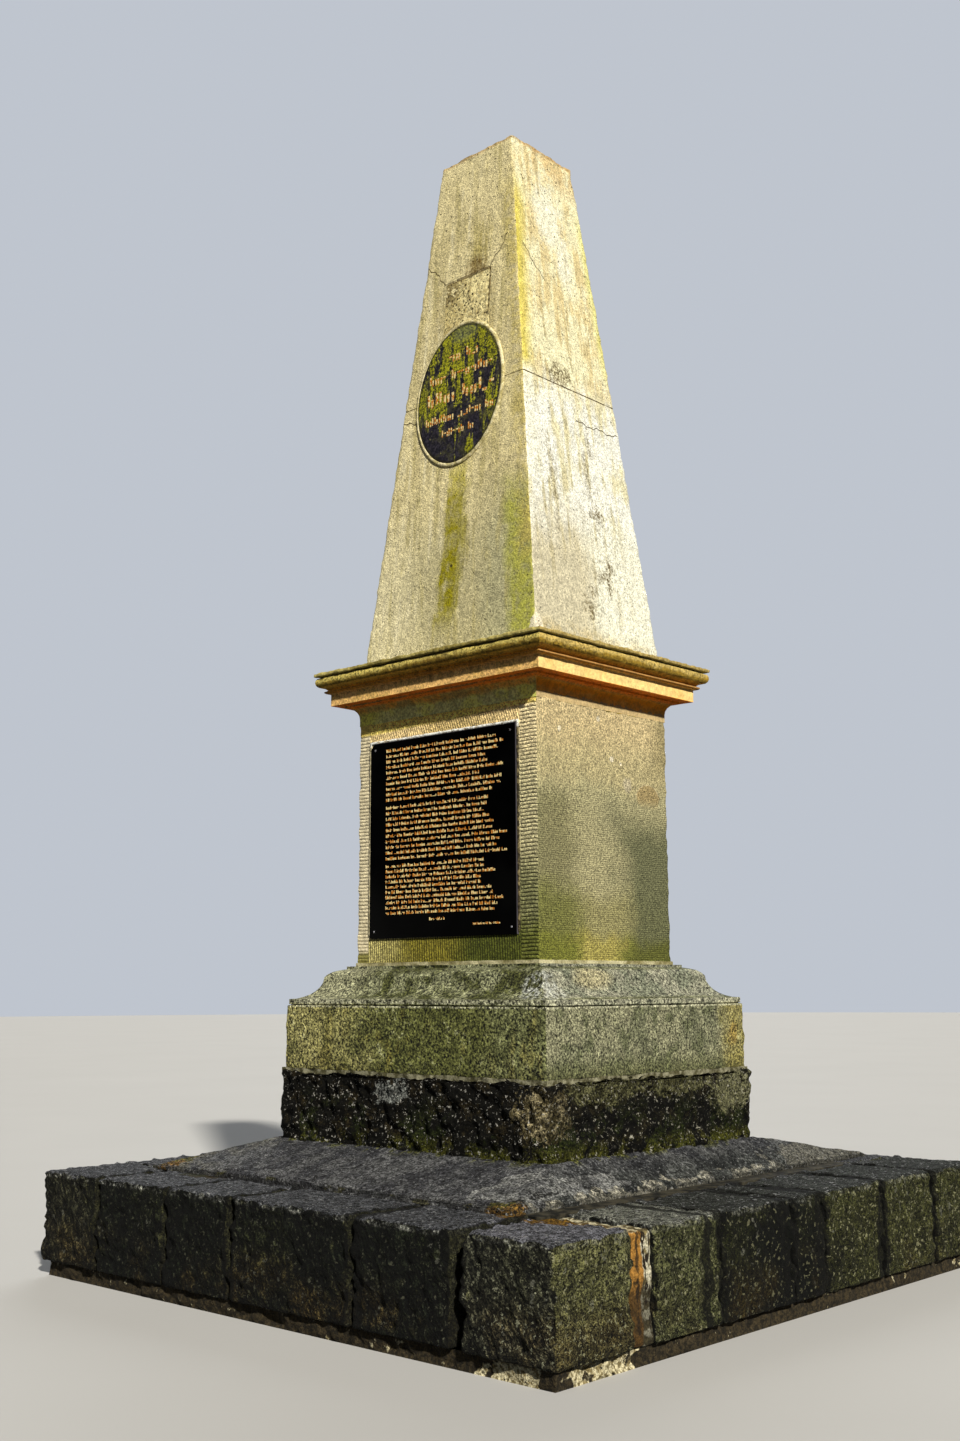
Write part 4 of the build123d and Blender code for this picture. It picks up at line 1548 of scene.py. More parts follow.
def stroke_rows(name, rows, surface, weight, spacing, longest):
    """Rows of plain strokes in groups, as one piece.

    A row is (start, end, height of its middle, height of a stroke), and surface tells how deep the stone
    lies at a height. A stroke is weight times its height wide, the gap after it is spacing times as wide,
    and a group has fewer strokes than longest.
    """
    stroke = block("stroke", (-0.5, -0.5, -0.5), (0.5, 0.5, 0.5))
    ease(stroke, 0.18, 1, lambda a, b: a.y < 0 and b.y < 0)
    copies = []
    for start, end, middle, tall in rows:
        x = start
        while x < end - 0.6 * tall:
            for number in range(int(chance.integers(4, longest))):
                kind = chance.random()
                width, height, lift = tall * weight, tall * 0.74, 0.0
                if kind < 0.25 or number == 0:
                    height, lift = tall * 1.14, tall * 0.17
                if kind > 0.88:
                    width, height = tall * weight * 2, tall * weight
                    lift = tall * float(chance.choice((-0.25, 0.25)))
                if x + width > end:
                    break
                copy = stroke.copy()
                copy.data = stroke.data.copy()
                copy.location = (x + width / 2, surface(middle + lift) - 0.4 * mm, middle + lift)
                copy.scale = (width, stroke_depth, height)
                bpy.context.collection.objects.link(copy)
                copies.append(copy)
                x += width + tall * weight * spacing
                if number % 2:
                    x += tall * 0.10
            x += tall * 0.65
    ob = join(copies, name)
    settle()
    bpy.data.objects.remove(stroke)
    keep(ob, gilt_look, "black_stone", angle=20)
    return ob


# %% [markdown]
# The tablet has three groups of ten rows, whose ends are uneven, and two short rows below. The heights are
# those of the first and the last row of each group.

# %% Gilt strokes on the tablet
rows = []
row_count = 10
for start, end in ((2.219, 1.999), (1.964, 1.740), (1.706, 1.502)):
    for number in range(row_count):
        middle = start + (end - start) * number / (row_count - 1)
        rows.append((-0.345, float(chance.uniform(0.22, 0.375)), middle, 12.5 * mm))
rows.append((-0.075, 0.02, 1.470, 11 * mm))
rows.append((0.18, 0.34, 1.443, 8 * mm))
stroke_rows("tablet_strokes", rows, lambda z: slab_low.y, 0.21, 0.85, 15)

# %% [markdown]
# A round stud near each corner holds the tablet. The one at the upper left is modelled, the others copied.

# %% Fixings of the tablet
stud_inset = 30 * mm
stud_across, stud_down = 0.81, -0.806
only()
stud_place = (slab_low.x + stud_inset, slab_low.y, slab_high.z - stud_inset)
bpy.ops.mesh.primitive_cylinder_add(
    vertices=16, radius=5 * mm, depth=3 * mm, rotation=(math.pi / 2, 0, 0), location=stud_place)
stud = bpy.context.object
settle()
ease(stud, 0.0012, 2, lambda a, b: a.y < slab_low.y and b.y < slab_low.y)
studs = [stud]
for across, down in ((stud_across, 0), (0, stud_down), (stud_across, stud_down)):
    copy = stud.copy()
    copy.data = stud.data.copy()
    copy.data.transform(Matrix.Translation((across, 0, down)))
    bpy.context.collection.objects.link(copy)
    studs.append(copy)
stud = join(studs, "tablet_fixings")
stud_finish = mortar_finish("stud_finish", seen(150, 150, 156, FRONT), seen(70, 66, 66, FRONT), 0.01)
keep(stud, stud_finish, "black_stone")

# %% [markdown]
# ## Cornice
# The cornice is orange sandstone: a neck, a hollow, a square band, a bead and a round mossy crown. It is
# made like the base moulding, from the plan of the die upwards. Its finish changes with height: we start
# with the parts that catch the sun, from the square band up to the crown.

# %% Cornice: band, bead and crown
f = Finish("cornice_finish")
cloud = f.noise(0.26, 4)
patches = f.noise(0.07, 4, 0.6)
mottle = f.noise(0.03, 5, 0.6)
grains = f.noise(0.010, 3, 0.7)
drip = f.noise(1, 4, 0.6, f.stretch(0.030, 0.030, 0.35))
right = abs(f.across).above(0.35, 0.75)
wander = f.z + (mottle - 0.5) * 0.008
band = f.coats(0.98, seen(216, 172, 104, FRONT), [
    ((244, 210, 134), right),
    ((244, 194, 110), cloud.above(0.46, 0.58) * 0.6 * right),
    (seen(198, 160, 86, FRONT), patches.above(0.48, 0.58) * (1 - right) * 0.6),
])
bead_colour = f.mix(seen(132, 92, 34, FRONT * 0.6), seen(196, 146, 82, RIGHT), right)
hollow = f.mix(seen(98, 68, 22, 0.11), seen(120, 72, 16, 0.5), right)
moss = f.mix(seen(126, 102, 36, FRONT * 0.8), seen(176, 142, 50, RIGHT), right)
crown = f.coats(RIGHT, seen(178, 160, 84, FRONT), [
    ((204, 176, 98), right),
    (moss, (wander + (patches - 0.5) * 0.05).below(2.548, 2.560)),
    (seen(96, 84, 26, FRONT), grains.below(0.40, 0.52) * patches.above(0.40, 0.55) * (1 - right) * 0.8),
    ((112, 92, 36), grains.below(0.38, 0.50) * patches.above(0.46, 0.56) * right * 0.7),
])
colour = f.coats(1.0, band, [
    (bead_colour, wander.above(2.503, 2.507)),
    (hollow, wander.within(2.521, 2.537, 0.003)),
    (crown, wander.above(2.533, 2.540)),
])
f.report("its lit parts")

# %% [markdown]
# The neck and the hollow lie in the shadow of the band, and only their foot on the right is lit. What looks
# nearly black there is the same orange stone, so its own colour is divided by a very small share of light.

# %% Cornice: neck and hollow
soffit = f.mix(seen(98, 50, 9, SHADE), seen(88, 41, 2, 0.18), right)
blue = (cloud + patches * 0.5).above(0.68, 0.78) * (1 - right)
ends = abs(f.x - 0.02).above(0.36, 0.50) * (1 - right)
neck = f.coats(SHADE, (118, 98, 50), [
    (seen(120, 86, 34, 0.22), right),
    ((80, 80, 56), blue * 0.6),
    ((136, 96, 32), ends * cloud.above(0.40, 0.56) * 0.7),
])
cavetto = f.coats(SHADE, (92, 66, 26), [
    (seen(120, 70, 12, 0.18), right),
    ((62, 64, 40), blue * 0.5),
])
lit = (wander + (patches - 0.5) * 0.030 + (mottle - 0.5) * 0.030).below(2.384, 2.388) * right
neck = f.mix(neck, seen(206, 180, 128, RIGHT * 0.9), lit)
hidden = f.far_sides()
under = f.coats(1.0, neck, [
    (cavetto, (wander + (patches - 0.5) * 0.05).above(2.395, 2.420)),
    (soffit, f.up.below(-0.8, -0.5) * f.z.above(2.43, 2.44)),
    (f.mix((150, 118, 72), (118, 106, 64), cloud, 0.5), hidden),
])
f.report("its shaded parts")

# %% [markdown]
# Both parts are joined at the lower edge of the band. A dark run crosses the front, and the seam under the
# capping is open.

# %% Cornice: stain, seam and grain
stain = drip.above(0.50, 0.58) * (f.x + (cloud - 0.5) * 0.5).within(-0.15, 0.25, 0.15) * (1 - right)
seam = f.z.within(2.5775, 2.583, 0.0015)
top_dirt = f.up.above(0.6, 0.9) * f.z.above(2.58, 2.59)
colour = f.coats(1.0, under, [
    (colour, f.z.above(2.450, 2.4515)),
    (seen(78, 54, 18, FRONT), stain * f.z.above(2.455, 2.50) * 0.45),
    ((24, 18, 8), seam),
    (seen(150, 146, 96, TOP), top_dirt),
])
colour = f.speckle(colour, (mottle, 0.14))
fresh = right * f.z.below(2.53, 2.54)
colour = f.mix(f.speckle(colour, (grains, 0.34)), f.speckle(colour, (grains, 0.14)), fresh)
cornice_look = f.surface(colour, 0.9, f.relief(grains, 0.0025, f.relief(mottle, 0.004)))

# %% [markdown]
# The profile runs up from the plan of the die. Its points are distances out from the die and up from the
# foot of the cornice.

# %% Cornice block
low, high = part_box("cornice_block")
neck_height, hollow_out, hollow_height = 35 * mm, 48 * mm, 51 * mm
profile = [(0, 0), (0, neck_height)]
for turn in (math.radians(18 * step) for step in range(1, 6)):
    profile.append((hollow_out * (1 - math.cos(turn)), neck_height + hollow_height * math.sin(turn)))
profile += [(hollow_out, 0.094), (0.094, 0.0945), (0.094, 0.148), (0.099, 0.149)]
profile += [(0.110, 0.151), (0.117, 0.156), (0.116, 0.162), (0.107, 0.166), (0.104, 0.168), (0.112, 0.174)]
profile += [(0.134, 0.180), (0.142, 0.188), (0.146, 0.200), (0.145, 0.212), (0.140, 0.222)]
profile += [(0.126, 0.2225), (0.126, 0.227)]
cornice = moulding("cornice_stone", die_high.x, die_high.y, low.z, profile)
cut(cornice, "z", 0.010)
cut(cornice, "xy", 0.0105, together=True)
close_bed(cornice, low.z, high.z)
places = points(cornice)
crown = np.clip((places[:, 2] - 2.530) / 0.02, 0, 1)
mark(cornice, "crown", crown)
weather(cornice, (broad, 0.006), (lumps, 0.003), (lumps, 0.003, "crown"), (grit, 0.0015),
        (grit, 0.003, "crown"))
keep(cornice, cornice_look, "sandstone", "cornice_block", angle=30)

# %% [markdown]
# The thin capping lies on a dark open joint, so we leave a gap of 1.5 mm under it. Only its rim is seen,
# so only the rim is weathered.

# %% Capping finish
f = Finish("capping_finish")
cloud = f.noise(0.22, 4)
mottle = f.noise(0.025, 5)
grains = f.noise(0.010, 3, 0.7)
right = abs(f.across).above(0.35, 0.75)
top = f.mix((100, 100, 56), (166, 158, 114), (cloud + mottle).above(0.88, 1.10), TOP)
colour = f.coats(RIGHT, seen(170, 156, 90, FRONT), [
    ((190, 166, 98), right),
    (seen(116, 102, 48, FRONT), cloud.above(0.44, 0.58) * (1 - right) * 0.8),
    ((148, 122, 58), mottle.above(0.50, 0.62) * right * 0.6),
    (top, f.up.above(0.6, 0.9)),
])
colour = f.speckle(colour, (grains, 0.32))
capping_look = f.surface(colour, 0.92, f.relief(mottle, 0.005))

# %% Capping
low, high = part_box("cornice_capping")
open_joint = 1.5 * mm
capping = block("cornice_capping_stone", low + Vector((0, 0, open_joint)), high)
ease(capping, 0.004, 2)
cut(capping, "xy", 0.010)
mark(capping, "rim", rim_of(box_gaps(capping, low, high), 0.03))
weather(capping, (swell, 0.008, "rim"), (lumps, 0.004, "rim"), (chips, -0.005, "rim"))
keep(capping, capping_look, "sandstone", "cornice_capping", angle=50)

# %% [markdown]
# ## Shaft
# The tapering shaft is built of two blocks. Everything on it has to follow the taper, so we first measure
# how fast its half widths shrink from the foot upwards.

# %% Taper of the shaft
lower_low, lower_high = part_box("shaft_lower_block")
upper_low, upper_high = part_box("shaft_upper_block")
slope_x = (upper_high.x - lower_high.x) / (upper_low.z - lower_low.z)
slope_y = (upper_high.y - lower_high.y) / (upper_low.z - lower_low.z)


def shaft_half(z):
    """Half widths of the shaft at a height."""
    return lower_high.x + slope_x * (z - lower_low.z), lower_high.y + slope_y * (z - lower_low.z)


print("shaft half widths at the top", shaft_half(upper_high.z))

# %% [markdown]
# Five cracks run over the shaft, two of them from the corners of the patch. The blade that cuts a crack and
# the dark line in the finish must follow one path, so one function gives it to both.


# %% Paths of the cracks
def on_front(x, z):
    """A place on the front face."""
    return Vector((x, -shaft_half(z)[1], z))


def on_right(y, z):
    """A place on the right face."""
    return Vector((shaft_half(z)[0], y, z))


def crack_axes(start, end):
    """Unit directions along a crack, into the stone and sideways."""
    along = (end - start).normalized()
    on_the_front = abs(start.y + shaft_half(start.z)[1]) < mm
    inward = Vector((0, 1, 0)) if on_the_front else Vector((-1, 0, 0))
    return along, inward, along.cross(inward).normalized()


def stray(reach, sine):
    """How far a crack strays to the side this far along it; numbers and shader values both work."""
    return sine(reach * 47) * 0.006 + sine(reach * 131 + 1) * 0.003


crack_lines = [
    (on_front(-0.146, 4.445), on_front(-0.282, 4.585)),
    (on_front(0.136, 4.442), on_front(0.235, 4.575)),
    (on_right(-0.225, 4.520), on_right(-0.095, 4.372)),
    (on_front(-0.378, 3.790), on_front(-0.275, 3.776)),
    (on_right(0.018, 3.703), on_right(0.322, 3.708)),
]
patch_edges = [
    (on_front(-0.160, 4.443), on_front(0.131, 4.443)),
    (on_front(-0.160, 4.443), on_front(-0.159, 4.16)),
    (on_front(0.131, 4.443), on_front(0.131, 4.14)),
]
print("cracks", [round((end - start).length, 3) for start, end in crack_lines], "m long")

# %% [markdown]
# The finish of the shaft carries what the weather did. It starts with the patterns: clouds, patches and
# grains as before, and two drip patterns that are stretched upright, because rain draws them.

# %% Shaft: patterns
f = Finish("shaft_finish")
cloud = f.noise(0.32, 4)
patches = f.noise(0.10, 4, 0.6)
mottle = f.noise(0.035, 5, 0.65)
grains = f.noise(0.011, 3, 0.75)
fine = f.noise(0.006, 3, 0.65)
drip = f.noise(1, 4, 0.6, f.stretch(0.040, 0.040, 0.60))
thin = f.noise(1, 3, 0.6, f.stretch(0.012, 0.012, 0.20))
edge_x = (f.z - lower_low.z) * slope_x + lower_high.x
edge_y = (f.z - lower_low.z) * slope_y + lower_high.y
right = f.across.above(0.35, 0.75)
left_back = f.far_sides()
ragged = (mottle - 0.5) * 1.2 + (patches - 0.5) * 1.0
wander = (cloud - 0.5) * 0.8 + (patches - 0.5) * 0.3
height = f.z + wander * 0.6
specks = grains.below(0.36, 0.46)
shady = FRONT * 0.98
sunny = RIGHT * 0.885
f.report("its patterns")

# %% [markdown]
# On the front the cream stone carries an olive run below the plaque, green along the near arris, and soot
# over the patch.

# %% Shaft: stains of the front
low_colour = f.coats(shady, (206, 195, 154), [
    ((178, 168, 126), (f.x + wander * 0.3).above(-0.36, -0.06)),
    ((162, 157, 120), (f.x + wander * 0.3).above(0.12, 0.28) * 0.8),
])
high_colour = f.mix((192, 178, 130), (208, 194, 146), (cloud * 0.5 + drip * 0.5).above(0.44, 0.56), shady)
centre_x = (f.z - 2.69) * 0.050 - 0.022
run = abs(f.x - centre_x + (mottle - 0.5) * 0.06 + (patches - 0.5) * 0.12)
run = (run + (drip - 0.5) * 0.12).below(0.030, 0.090) * f.z.within(2.86, 3.40, 0.20)
run = run * (patches.above(0.36, 0.56) * 0.25 + mottle.above(0.36, 0.60) * 0.25 + 0.55)
run_colour = f.mix((176, 164, 66), (132, 123, 8), f.z.within(2.74, 3.30, 0.15), shady)
near = edge_x - f.x + (mottle - 0.5) * 0.10 + (patches - 0.5) * 0.10
green = near.below(0.11, 0.18) * (f.z + wander * 0.3).within(2.60, 3.20, 0.22)
green = green * (mottle.above(0.30, 0.56) * 0.5 + 0.4)
olive = near.below(0.02, 0.13) * f.z.within(3.10, 4.7, 0.3)
streaky = ragged * 0.7 + (thin - 0.5) * 2.0
over_patch = f.z.above(4.438, 4.444)
dull = f.blob((0.065, -0.26, 4.56), (0.11, 0.3, 0.16), streaky, 1.0) * over_patch
soot = f.blob((0.045, -0.26, 4.465), (0.095, 0.3, 0.085), streaky, 0.8) * over_patch
beside = abs(f.x + 0.015).within(0.146, 0.18, 0.03) * f.z.within(4.02, 4.40, 0.05)
beside = beside * mottle.above(0.42, 0.56)
f.report("the stains of its front")

# %% [markdown]
# The front is put together: the colour of the foot, the paler one above it, and then the stains.

# %% Shaft: front
front = f.coats(shady, low_colour, [
    (high_colour, height.above(3.05, 3.45)),
    ((216, 206, 170), drip.above(0.55, 0.66) * f.x.below(0.0, 0.1) * 0.5),
    ((166, 154, 100), drip.below(0.38, 0.46) * 0.5),
    (run_colour, run),
    ((156, 155, 60), green),
    ((172, 156, 86), olive * (cloud + mottle).above(0.88, 1.14) * 0.8),
    ((154, 140, 78), dull * 0.85),
    ((104, 80, 32), soot * (grains.below(0.42, 0.60) * 0.4 + 0.55)),
    ((150, 134, 84), beside * 0.5),
])
front = f.mix(front, f.shade(front, 0.6), specks * (patches.above(0.44, 0.60) * 0.5))
f.report("its front")

# %% [markdown]
# The right side stands in full sun and is almost white, warmer towards the head. Two whiter patches high up
# are painted light, patches of sun through dappled shade. Grey smudges with ragged ends lie down its
# middle. Each is a blob in the same long-streaked pattern.

# %% Shaft: smudges of the right side
warm = f.mix((230, 210, 154), (248, 240, 196), (drip * 0.5 + cloud * 0.5).above(0.45, 0.54), sunny)
bright = f.mix((234, 226, 186), (250, 248, 232), (drip * 0.5 + cloud * 0.5).above(0.43, 0.52), sunny)
face = f.mix(bright, warm, height.above(3.72, 3.98))
share = f.y / edge_y + wander * 0.5
foot_face = f.mix((216, 206, 174), (249, 246, 222), share.above(-0.25, 0.20), sunny)
# Painted light: whiter patches high up, where the sun falls through dappled shade.
sunlit_patches = f.blobs(
    ragged,
    ((0.24, -0.02, 4.72), (0.2, 0.13, 0.24), 0.6),
    ((0.24, 0.07, 4.52), (0.2, 0.08, 0.20), 0.6))
head = f.z.above(4.82, 5.02) * (patches + mottle).above(0.90, 1.06) * share.above(-0.7, -0.4)
grime = (drip.below(0.36, 0.45) * share.within(-0.75, 0.45, 0.3)).either(thin.below(0.34, 0.42) * 0.3)
smear = ragged * 2.0 + (thin - 0.5) * 1.6
dark = f.blobs(
    smear,
    ((0.3, -0.05, 3.90), (0.4, 0.10, 0.085), 0.7),
    ((0.3, 0.085, 3.26), (0.4, 0.090, 0.15), 0.9),
    ((0.3, 0.090, 3.60), (0.4, 0.030, 0.14), 0.9, 0.7),
    ((0.3, -0.20, 3.38), (0.4, 0.045, 0.26), 0.9, 0.6),
    ((0.3, 0.11, 2.98), (0.4, 0.090, 0.12), 0.9),
    ((0.3, -0.02, 2.82), (0.4, 0.085, 0.12), 0.9),
    ((0.3, 0.05, 3.42), (0.4, 0.040, 0.24), 0.9, 0.6))
f.report("the smudges of its right side")

# %% [markdown]
# Yellow lichen follows both arrises of the right side, high up, and below it a white strip by the near arris
# is painted light. Then the right side is put together too.

# %% Shaft: lichen and right side
close = f.y + edge_y + (mottle - 0.5) * 0.05
lichen = close.below(0.010, 0.105) * f.z.within(3.90, 4.70, 0.25)
far = (edge_y - f.y + (mottle - 0.5) * 0.04).below(0.01, 0.07) * f.z.within(4.1, 4.7, 0.2)
# Painted light: a white strip by the near arris, a patch of sun in dappled shade.
strip = close.below(0.05, 0.09) * f.z.within(3.40, 3.84, 0.1)
foot = f.z.below(2.63, 2.74) * (patches + mottle).above(0.92, 1.06)
face = f.coats(sunny, foot_face, [
    (face, height.above(3.05, 3.40)),
    ((252, 249, 222), sunlit_patches * 0.85),
    ((224, 196, 140), head * 0.8),
    ((186, 172, 126), grime * 0.5),
    ((128, 112, 72), dark * (grains.below(0.46, 0.60) * 0.8 + 0.15)),
    ((226, 207, 84), lichen * (drip * 0.5 + 0.60)),
    ((236, 228, 128), far * 0.7),
    ((252, 249, 226), strip * 0.8),
    ((196, 172, 112), foot * 0.7),
])
face = f.mix(face, f.shade(face, 0.5), specks * (patches.above(0.44, 0.60) * 0.5 + 0.15))
f.report("its right side")

# %% [markdown]
# The back and the left side are plain and drip-stained. The mend at the foot, the dirty rim, the green top
# and the bed joint between the two blocks come after all sides are joined.

# %% Shaft: plain sides and all round
plain = f.coats(FRONT, (164, 156, 112), [
    ((200, 188, 144), (cloud + drip).above(0.85, 1.10)),
    ((136, 134, 74), drip.below(0.36, 0.46) * 0.5),
])
plain = f.mix(plain, f.shade(plain, 0.64), specks * 0.5)
mend = f.blob((0.523, -0.43, 2.62), (0.05, 0.07, 0.12), (mottle - 0.5) * 0.4, 0.15)
rim = (f.z + (mottle - 0.5) * 0.03).above(5.062, 5.082)
crown_top = f.mix((104, 98, 56), (160, 148, 102), (cloud + mottle).above(0.88, 1.10), TOP)
bed_strength = f.mix((0.35, 0.35, 0.35, 1), (0.95, 0.95, 0.95, 1), right)
bed_strength = bed_strength * (mottle.above(0.36, 0.52) * 0.7 + 0.3)
colour = f.coats(0.8, f.mix(front, face, right), [
    (plain, left_back),
    (seen(212, 202, 178, 0.85), mend * 0.85),
    ((150, 112, 62), rim * 0.6),
    (crown_top, f.up.above(0.6, 0.9) * f.z.above(5.0, 5.05)),
    (seen(80, 58, 26), f.z.within(3.8530, 3.8570, 0.0025) * bed_strength),
])
f.report("all its sides")

# %% [markdown]
# The cracks are dark lines on the paths from above, the joints round the patch are dark lines too, and the
# stone is full of small pits, most of all near the top.

# %% Shaft: cracks and pits
cracks = f.x * 0
for start, end in crack_lines:
    cracks = cracks.either(f.crack(start, end, 4 * mm))
joints = f.x * 0
for start, end in patch_edges:
    joints = joints.either(f.line(start, end, 0.0045, (mottle - 0.5) * 0.012))
joints = joints * (f.z + f.x * 1.2).above(4.10, 4.34)
cracks = cracks.either(joints) * (mottle.above(0.34, 0.50) * 0.5 + 0.5)
pits = f.cells(0.022).below(0.07, 0.17) * f.noise(0.05, 3).above(0.50, 0.58)
crown_pits = f.z.above(3.9, 4.7) * 0.7 + 0.3
pits = pits.either(f.cells(0.040).below(0.06, 0.13) * crown_pits)
pits = pits.either(f.blob((0.0, -0.38, 3.02), (0.009, 0.1, 0.008), None, 0.3))
colour = f.coats(1.0, colour, [
    ((84, 66, 34), cracks * 0.85),
    (seen(50, 40, 18, FRONT), pits * 0.85),
])
colour = f.speckle(colour, (mottle, 0.12), (grains, 0.20), (fine, 0.28))
shaft_look = f.surface(colour, 0.9, f.relief(fine + grains, 0.003, f.relief(mottle - pits, 0.005)))

# %% [markdown]
# A crack is a thin groove with jagged walls. A narrow grid is bent onto the path, made thick by a Solidify
# modifier, and cut out of the stone by a Boolean modifier.


# %% Cutting a crack
def blade(start, end, width, depth):
    """A thin jagged blade that stands on a face between two points."""
    start, end = Vector(start), Vector(end)
    along, inward, sideways = crack_axes(start, end)
    length = (end - start).length
    steps = max(8, int(length / 0.009))
    only()
    bpy.ops.mesh.primitive_grid_add(x_subdivisions=steps, y_subdivisions=1, size=1)
    ob = bpy.context.object
    places = points(ob)
    share = places[:, 0] + 0.5
    into = np.where(places[:, 1] > 0, depth, -0.012)
    drift = stray(share * length, np.sin)
    new_places = np.array(start) + share[:, None] * np.array(end - start)
    move(ob, new_places + into[:, None] * np.array(inward) + drift[:, None] * np.array(sideways))
    modifier = ob.modifiers.new("thick", "SOLIDIFY")
    modifier.thickness = width
    modifier.offset = 0
    only(ob)
    bpy.ops.object.modifier_apply(modifier=modifier.name)
    return ob


def crack(ob, start, end, width=0.0022, depth=0.012):
    """Cut a crack into a stone."""
    cutter = blade(start, end, width, depth)
    only(ob)
    modifier = ob.modifiers.new("crack", "BOOLEAN")
    modifier.operation = "DIFFERENCE"
    modifier.solver = "EXACT"
    modifier.object = cutter
    bpy.ops.object.modifier_apply(modifier=modifier.name)
    bpy.data.objects.remove(cutter)


# %% [markdown]
# Each shaft block starts as a block at its foot, and its top face is scaled in to the taper. A bevel and
# chips wear the arrises, more so round the head.


# %% Shaft blocks
def shaft_block(name, low, high):
    """One tapering block with worn arrises."""
    ob = block(name, low, high)
    head_x, head_y = shaft_half(high.z)
    foot_x, foot_y = shaft_half(low.z)
    pick(ob, "FACE", lambda centre, normal: normal.z > 0.9)
    bpy.ops.transform.resize(value=(head_x / foot_x, head_y / foot_y, 1), center_override=(0, 0, high.z))
    only(ob)
    ease(ob, 0.007, 2, lambda a, b: abs(a.z - b.z) > 0.1)
    ease(ob, 0.0022, 1, lambda a, b: abs(a.z - b.z) < 0.001)
    cut(ob, "z", 0.0115)
    cut(ob, "xy", 0.0115, together=True)
    close_bed(ob, low.z, high.z)
    places = points(ob)
    half_x, half_y = shaft_half(places[:, 2])
    from_sides = half_x - np.abs(places[:, 0]), half_y - np.abs(places[:, 1])
    gaps = np.stack([*from_sides, upper_high.z - places[:, 2]], axis=1)
    mark(ob, "arrises", arris(gaps, 0.018))
    mark(ob, "head", arris(gaps, 0.022) * np.clip((places[:, 2] - 4.9) / 0.15, 0, 1))
    weather(ob, (broad, 0.004), (lumps, 0.0022), (grit, 0.0014), (chips, -0.0045, "arrises"),
            (large_chips, -0.006, "head"))
    return ob


lower = shaft_block("shaft_lower_stone", lower_low, lower_high)
upper = shaft_block("shaft_upper_stone", upper_low, upper_high)
for start, end in crack_lines[:3]:
    crack(upper, start, end)
for start, end in crack_lines[3:]:
    crack(lower, start, end)
keep(lower, shaft_look, "sandstone", "shaft_lower_block")
keep(upper, shaft_look, "sandstone", "shaft_upper_block")

# %% [markdown]
# ## Patch, plaque and its bead on the leaning face
# These three lie on the front of the shaft, which leans back. Each is modelled upright on the plane y = 0
# and then moved onto the face: every point goes back by the depth of the face at its own height.


# %% Moving a piece onto the leaning face
def lean(ob):
    """Move an upright piece from the plane y = 0 onto the front of the shaft."""
    places = points(ob)
    places[:, 1] -= shaft_half(places[:, 2])[1]
    move(ob, places)


# %% [markdown]
# The patch is a square of coarse mortar, paler than the stone on its right half, with large pits and a dark
# open rim along its top.

# %% Patch finish
f = Finish("patch_finish")
cloud = f.noise(0.10, 4)
mottle = f.noise(0.022, 5, 0.7)
grains = f.noise(0.011, 3, 0.75)
left = (f.x + (cloud - 0.5) * 0.25).below(-0.10, 0.04)
rim = (f.x + (mottle - 0.5) * 0.02).below(-0.148, -0.138) * f.z.above(4.30, 4.38)
right_rim = (f.x + (mottle - 0.5) * 0.024).above(0.131, 0.135) * f.z.above(4.18, 4.22)
rim = rim.either(f.z.above(4.426, 4.434)).either(right_rim)
gloom = f.blob((-0.12, -0.27, 4.38), (0.075, 0.2, 0.075), (mottle - 0.5) * 1.6, 0.4)
pits = f.cells(0.024).below(0.17, 0.28) * f.noise(0.03, 3).above(0.42, 0.49)
pits = pits.either(grains.below(0.37, 0.42))
colour = f.coats(FRONT, (222, 207, 150), [
    ((196, 180, 124), left),
    ((140, 120, 68), mottle.above(0.52, 0.57) * 0.65),
    ((92, 76, 40), rim * (mottle.above(0.38, 0.50) * 0.4 + 0.5)),
    ((112, 97, 60), gloom * 0.75),
    ((62, 48, 20), pits * 0.9),
])
colour = f.speckle(colour, (grains, 0.44))
patch_look = f.surface(colour, 0.93, f.relief(mottle - pits * 1.5, 0.008))

# %% Patch
low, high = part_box("shaft_patch")
patch = block("shaft_patch_mortar", (low.x, -1 * mm, low.z), (high.x, 30 * mm, high.z))
ease(patch, 0.004, 1)
cut(patch, "xz", 0.007)
weather(patch, (lumps, 0.003), (grit, 0.004))
lean(patch)
keep(patch, patch_look, "patch_mortar", "shaft_patch")

# %% [markdown]
# The oval plaque is dark stone that lichen has covered from below and from the left. We read the oval from
# the model first, because the dark rim in the finish follows it: a painted shade along the plaque's edge.

# %% Plaque finish
low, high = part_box("oval_plaque")
centre = (low + high) / 2
half_high = (high.z - low.z) / 2
half_wide = (high.x - low.x) / 2
f = Finish("plaque_finish")
run = f.noise(1, 4, 0.6, f.stretch(0.05, 0.05, 0.22))
mottle = f.noise(0.02, 5, 0.65)
grains = f.noise(0.010, 3, 0.7)
dark = f.coats(FRONT, (20, 18, 26), [
    ((44, 40, 48), mottle.above(0.4, 0.65)),
    ((66, 64, 40), f.noise(0.06, 3).above(0.5, 0.65) * 0.6),
])
growth = (run + (f.z - 3.87) * 0.42 + (mottle - 0.5) * 0.35).above(0.47, 0.56)
foot = f.z.below(3.64, 3.74) * (run + (f.x + 0.015) * 0.5).above(0.54, 0.60)
left = (f.x + 0.015).below(-0.22, -0.17) * f.z.within(3.75, 3.98, 0.05) * run.above(0.40, 0.50)
growth = growth.either(foot).either(left)
lichen = f.mix((66, 66, 8), (146, 144, 18), grains.above(0.38, 0.60), FRONT)
head = f.blob((0.0, -0.3, 4.15), (0.12, 0.3, 0.07), (mottle - 0.5), 0.7)
rim = f.distance((centre.x, 0, centre.z), (1 / half_wide, 0, 1 / half_high))
